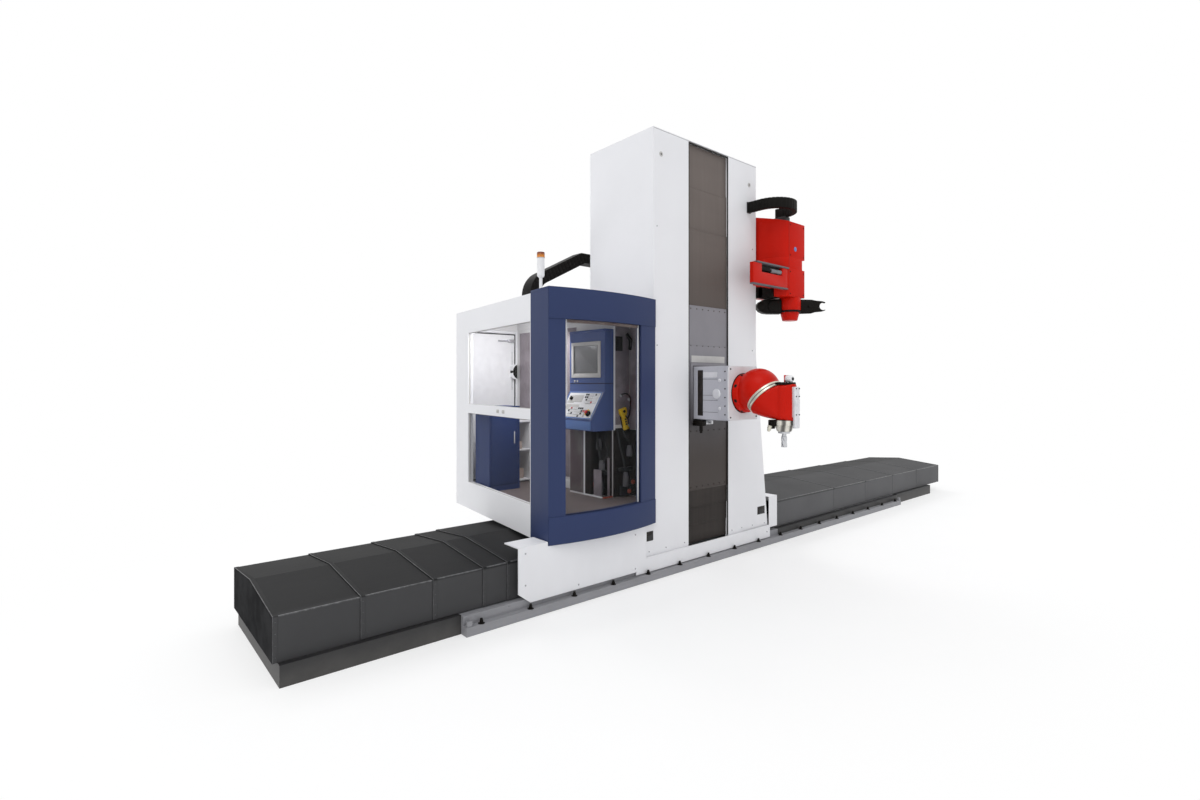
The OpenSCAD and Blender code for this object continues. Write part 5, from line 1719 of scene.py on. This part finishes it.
    def arms(self):
        """Each arm is a side outline that ends in a C, carried across its own width: the C is
        the part of a circle that the outline leaves open."""
        turn = math.radians(-40.7)
        along = np.array([math.cos(turn), math.sin(turn), 0])
        grip = [(self.root, 3.145), (0.29, 3.15), (0.348, 3.168), (0.437, 3.176), (0.476, 3.19),
                *arc((0.447, 3.245), 0.05, 300, 60, 24), (0.476, 3.3), (0.437, 3.314),
                (0.348, 3.322), (0.29, 3.335), (self.root, 3.338)]
        broad = [(self.root, 3.142), (0.3, 3.142), (0.37, 3.15), (0.43, 3.18),
                 *arc((0.41, 3.24), 0.052, 290, 70, 24), (0.43, 3.3), (0.37, 3.33),
                 (0.3, 3.338), (self.root, 3.338)]
        cheek = [(self.root, 3.16), (0.27, 3.17), (0.31, 3.2), (0.31, 3.28), (0.27, 3.315),
                 (self.root, 3.32)]
        arms = []
        for way, outline, half in ((along, grip, 0.024), (-along, broad, 0.06)):
            basis = np.array([way, Z, np.cross(way, Z)])
            arms += [placed(shape, self.hub, basis) for shape in (
                prism(outline, -half, half, 0.0025, 2),
                prism(cheek, -half - 0.02, half + 0.02, 0.008))]
        piece("gripper_arms", join(*arms), "black_steel", "changer_arm",
              stands_for=("changer_arms",))
        across = np.cross(along, Z)
        pins = [lathe([(r - 0.004, 0), (r, 0.003), (r, 0.125), (r - 0.004, 0.128)],
                      self.hub + reach * along + 3.241 * Z - 0.064 * across, across, 28)
                for reach, r in ((-0.41, 0.0525), (-0.3, 0.016), (0.25, 0.016))]
        piece("gripper_pins", join(*pins), "black_steel", "changer_arm")


class MILL_OT_stage(bpy.types.Operator):
    """Floor, soft light and camera of the studio"""
    bl_idname = "mill.stage"
    bl_label = "Stage"
    bl_options = {"REGISTER", "UNDO"}

    middle = (1.3, 0.8)

    def execute(self, context):
        for made in [o for o in bpy.data.objects if o.name in ("Cube", "Light", "Camera")]:
            bpy.data.objects.remove(made)
        radius = np.r_[0.02, np.geomspace(0.5, context.scene.mill_sizes.floor_radius, 24)]
        disc = self.middle + radius[:, None, None] * spokes(64)
        points, faces = surface(np.insert(disc, 2, -0.001, axis=2), caps=False)
        faces = [faces[0][:, ::-1], np.arange(64)[None, ::-1]]
        meshed("studio_floor", (points, faces), self.floor_finish())
        self.light(context.scene)
        self.camera(context.scene)
        return {"FINISHED"}

    def floor_finish(self):
        """Matt white that fades into plain white with the distance from the machine."""
        made = bpy.data.materials.new("studio_floor")
        g = Graph(made)
        x, y = g.along("X") - self.middle[0], g.along("Y") - self.middle[1]
        far = (x * x * 0.35 + y * y) ** 0.5
        matt = g.node("ShaderNodeBsdfDiffuse", None,
                      {"Color": g.mix("FAFAFA", (g.noise(1.5, 3), "FDFDFD"))})
        light = g.node("ShaderNodeEmission", None, {"Color": (1, 1, 1, 1), "Strength": 1.0})
        share = (far.step(2.2, 5.5) * 0.65 + 0.35) * g.seen()
        mixed = g.node("ShaderNodeMixShader", None, {0: share, 1: matt, 2: light})
        g.node("ShaderNodeOutputMaterial", None, {"Surface": mixed})
        return made

    def light(self, scene):
        """A soft sky behind plain white, and two suns."""
        scene.world = bpy.data.worlds.new("studio")
        g = Graph(scene.world)
        soft, white = (g.node("ShaderNodeBackground", None, {"Color": shade, "Strength": power})
                       for shade, power in (((0.98, 0.99, 1, 1), 0.8), ((1, 1, 1, 1), 1.0)))
        mixed = g.node("ShaderNodeMixShader", None, {0: g.seen(), 1: soft, 2: white})
        g.node("ShaderNodeOutputWorld", None, {"Surface": mixed})
        lit("key", "SUN", (-0.62, -0.35, 1.0), energy=0.75, angle=math.radians(35))
        lit("back", "SUN", (0.1, 0.9, 1.0), energy=0.35, angle=math.radians(20))

    def camera(self, scene):
        data = bpy.data.cameras.new("camera")
        data.lens, data.sensor_width, data.shift_y = 18.0, 36.0, -0.0142
        data.clip_start, data.clip_end = 0.1, 300
        scene.camera = linked(bpy.data.objects.new("camera", data))
        scene.camera.location = (-5.891, -4.767, 2.207)
        scene.camera.rotation_euler = (math.radians(90), 0, math.radians(49.28 - 90))
        scene.view_settings.view_transform = "Standard"


class MILL_PT_panel(bpy.types.Panel):
    """Lists the steps of the build with their sizes and colours"""
    bl_idname = "MILL_PT_panel"
    bl_label = "Travelling column mill"
    bl_space_type = "VIEW_3D"
    bl_region_type = "UI"
    bl_category = "Mill"

    def draw(self, context):
        for operator in STEPS:
            self.layout.operator(operator.bl_idname)
        for group in (context.scene.mill_sizes, context.scene.mill_colours):
            box = self.layout.box()
            for name in group.__annotations__:
                box.prop(group, name)


STEPS = (MILL_OT_finishes, MILL_OT_stage, MILL_OT_covers, MILL_OT_bed, MILL_OT_column,
         MILL_OT_slot, MILL_OT_ram, MILL_OT_head, MILL_OT_cabin, MILL_OT_console,
         MILL_OT_goods, MILL_OT_signal, MILL_OT_chains, MILL_OT_changer)
CLASSES = (MillSizes, MillColours, *STEPS, MILL_PT_panel)


def register():
    for kind in CLASSES:
        bpy.utils.register_class(kind)
    bpy.types.Scene.mill_sizes = bpy.props.PointerProperty(type=MillSizes)
    bpy.types.Scene.mill_colours = bpy.props.PointerProperty(type=MillColours)


def unregister():
    del bpy.types.Scene.mill_colours
    del bpy.types.Scene.mill_sizes
    for kind in reversed(CLASSES):
        bpy.utils.unregister_class(kind)


def main():
    register()
    for operator in STEPS:
        group, name = operator.bl_idname.split(".")
        getattr(getattr(bpy.ops, group), name)()


if __name__ == "__main__":
    main()
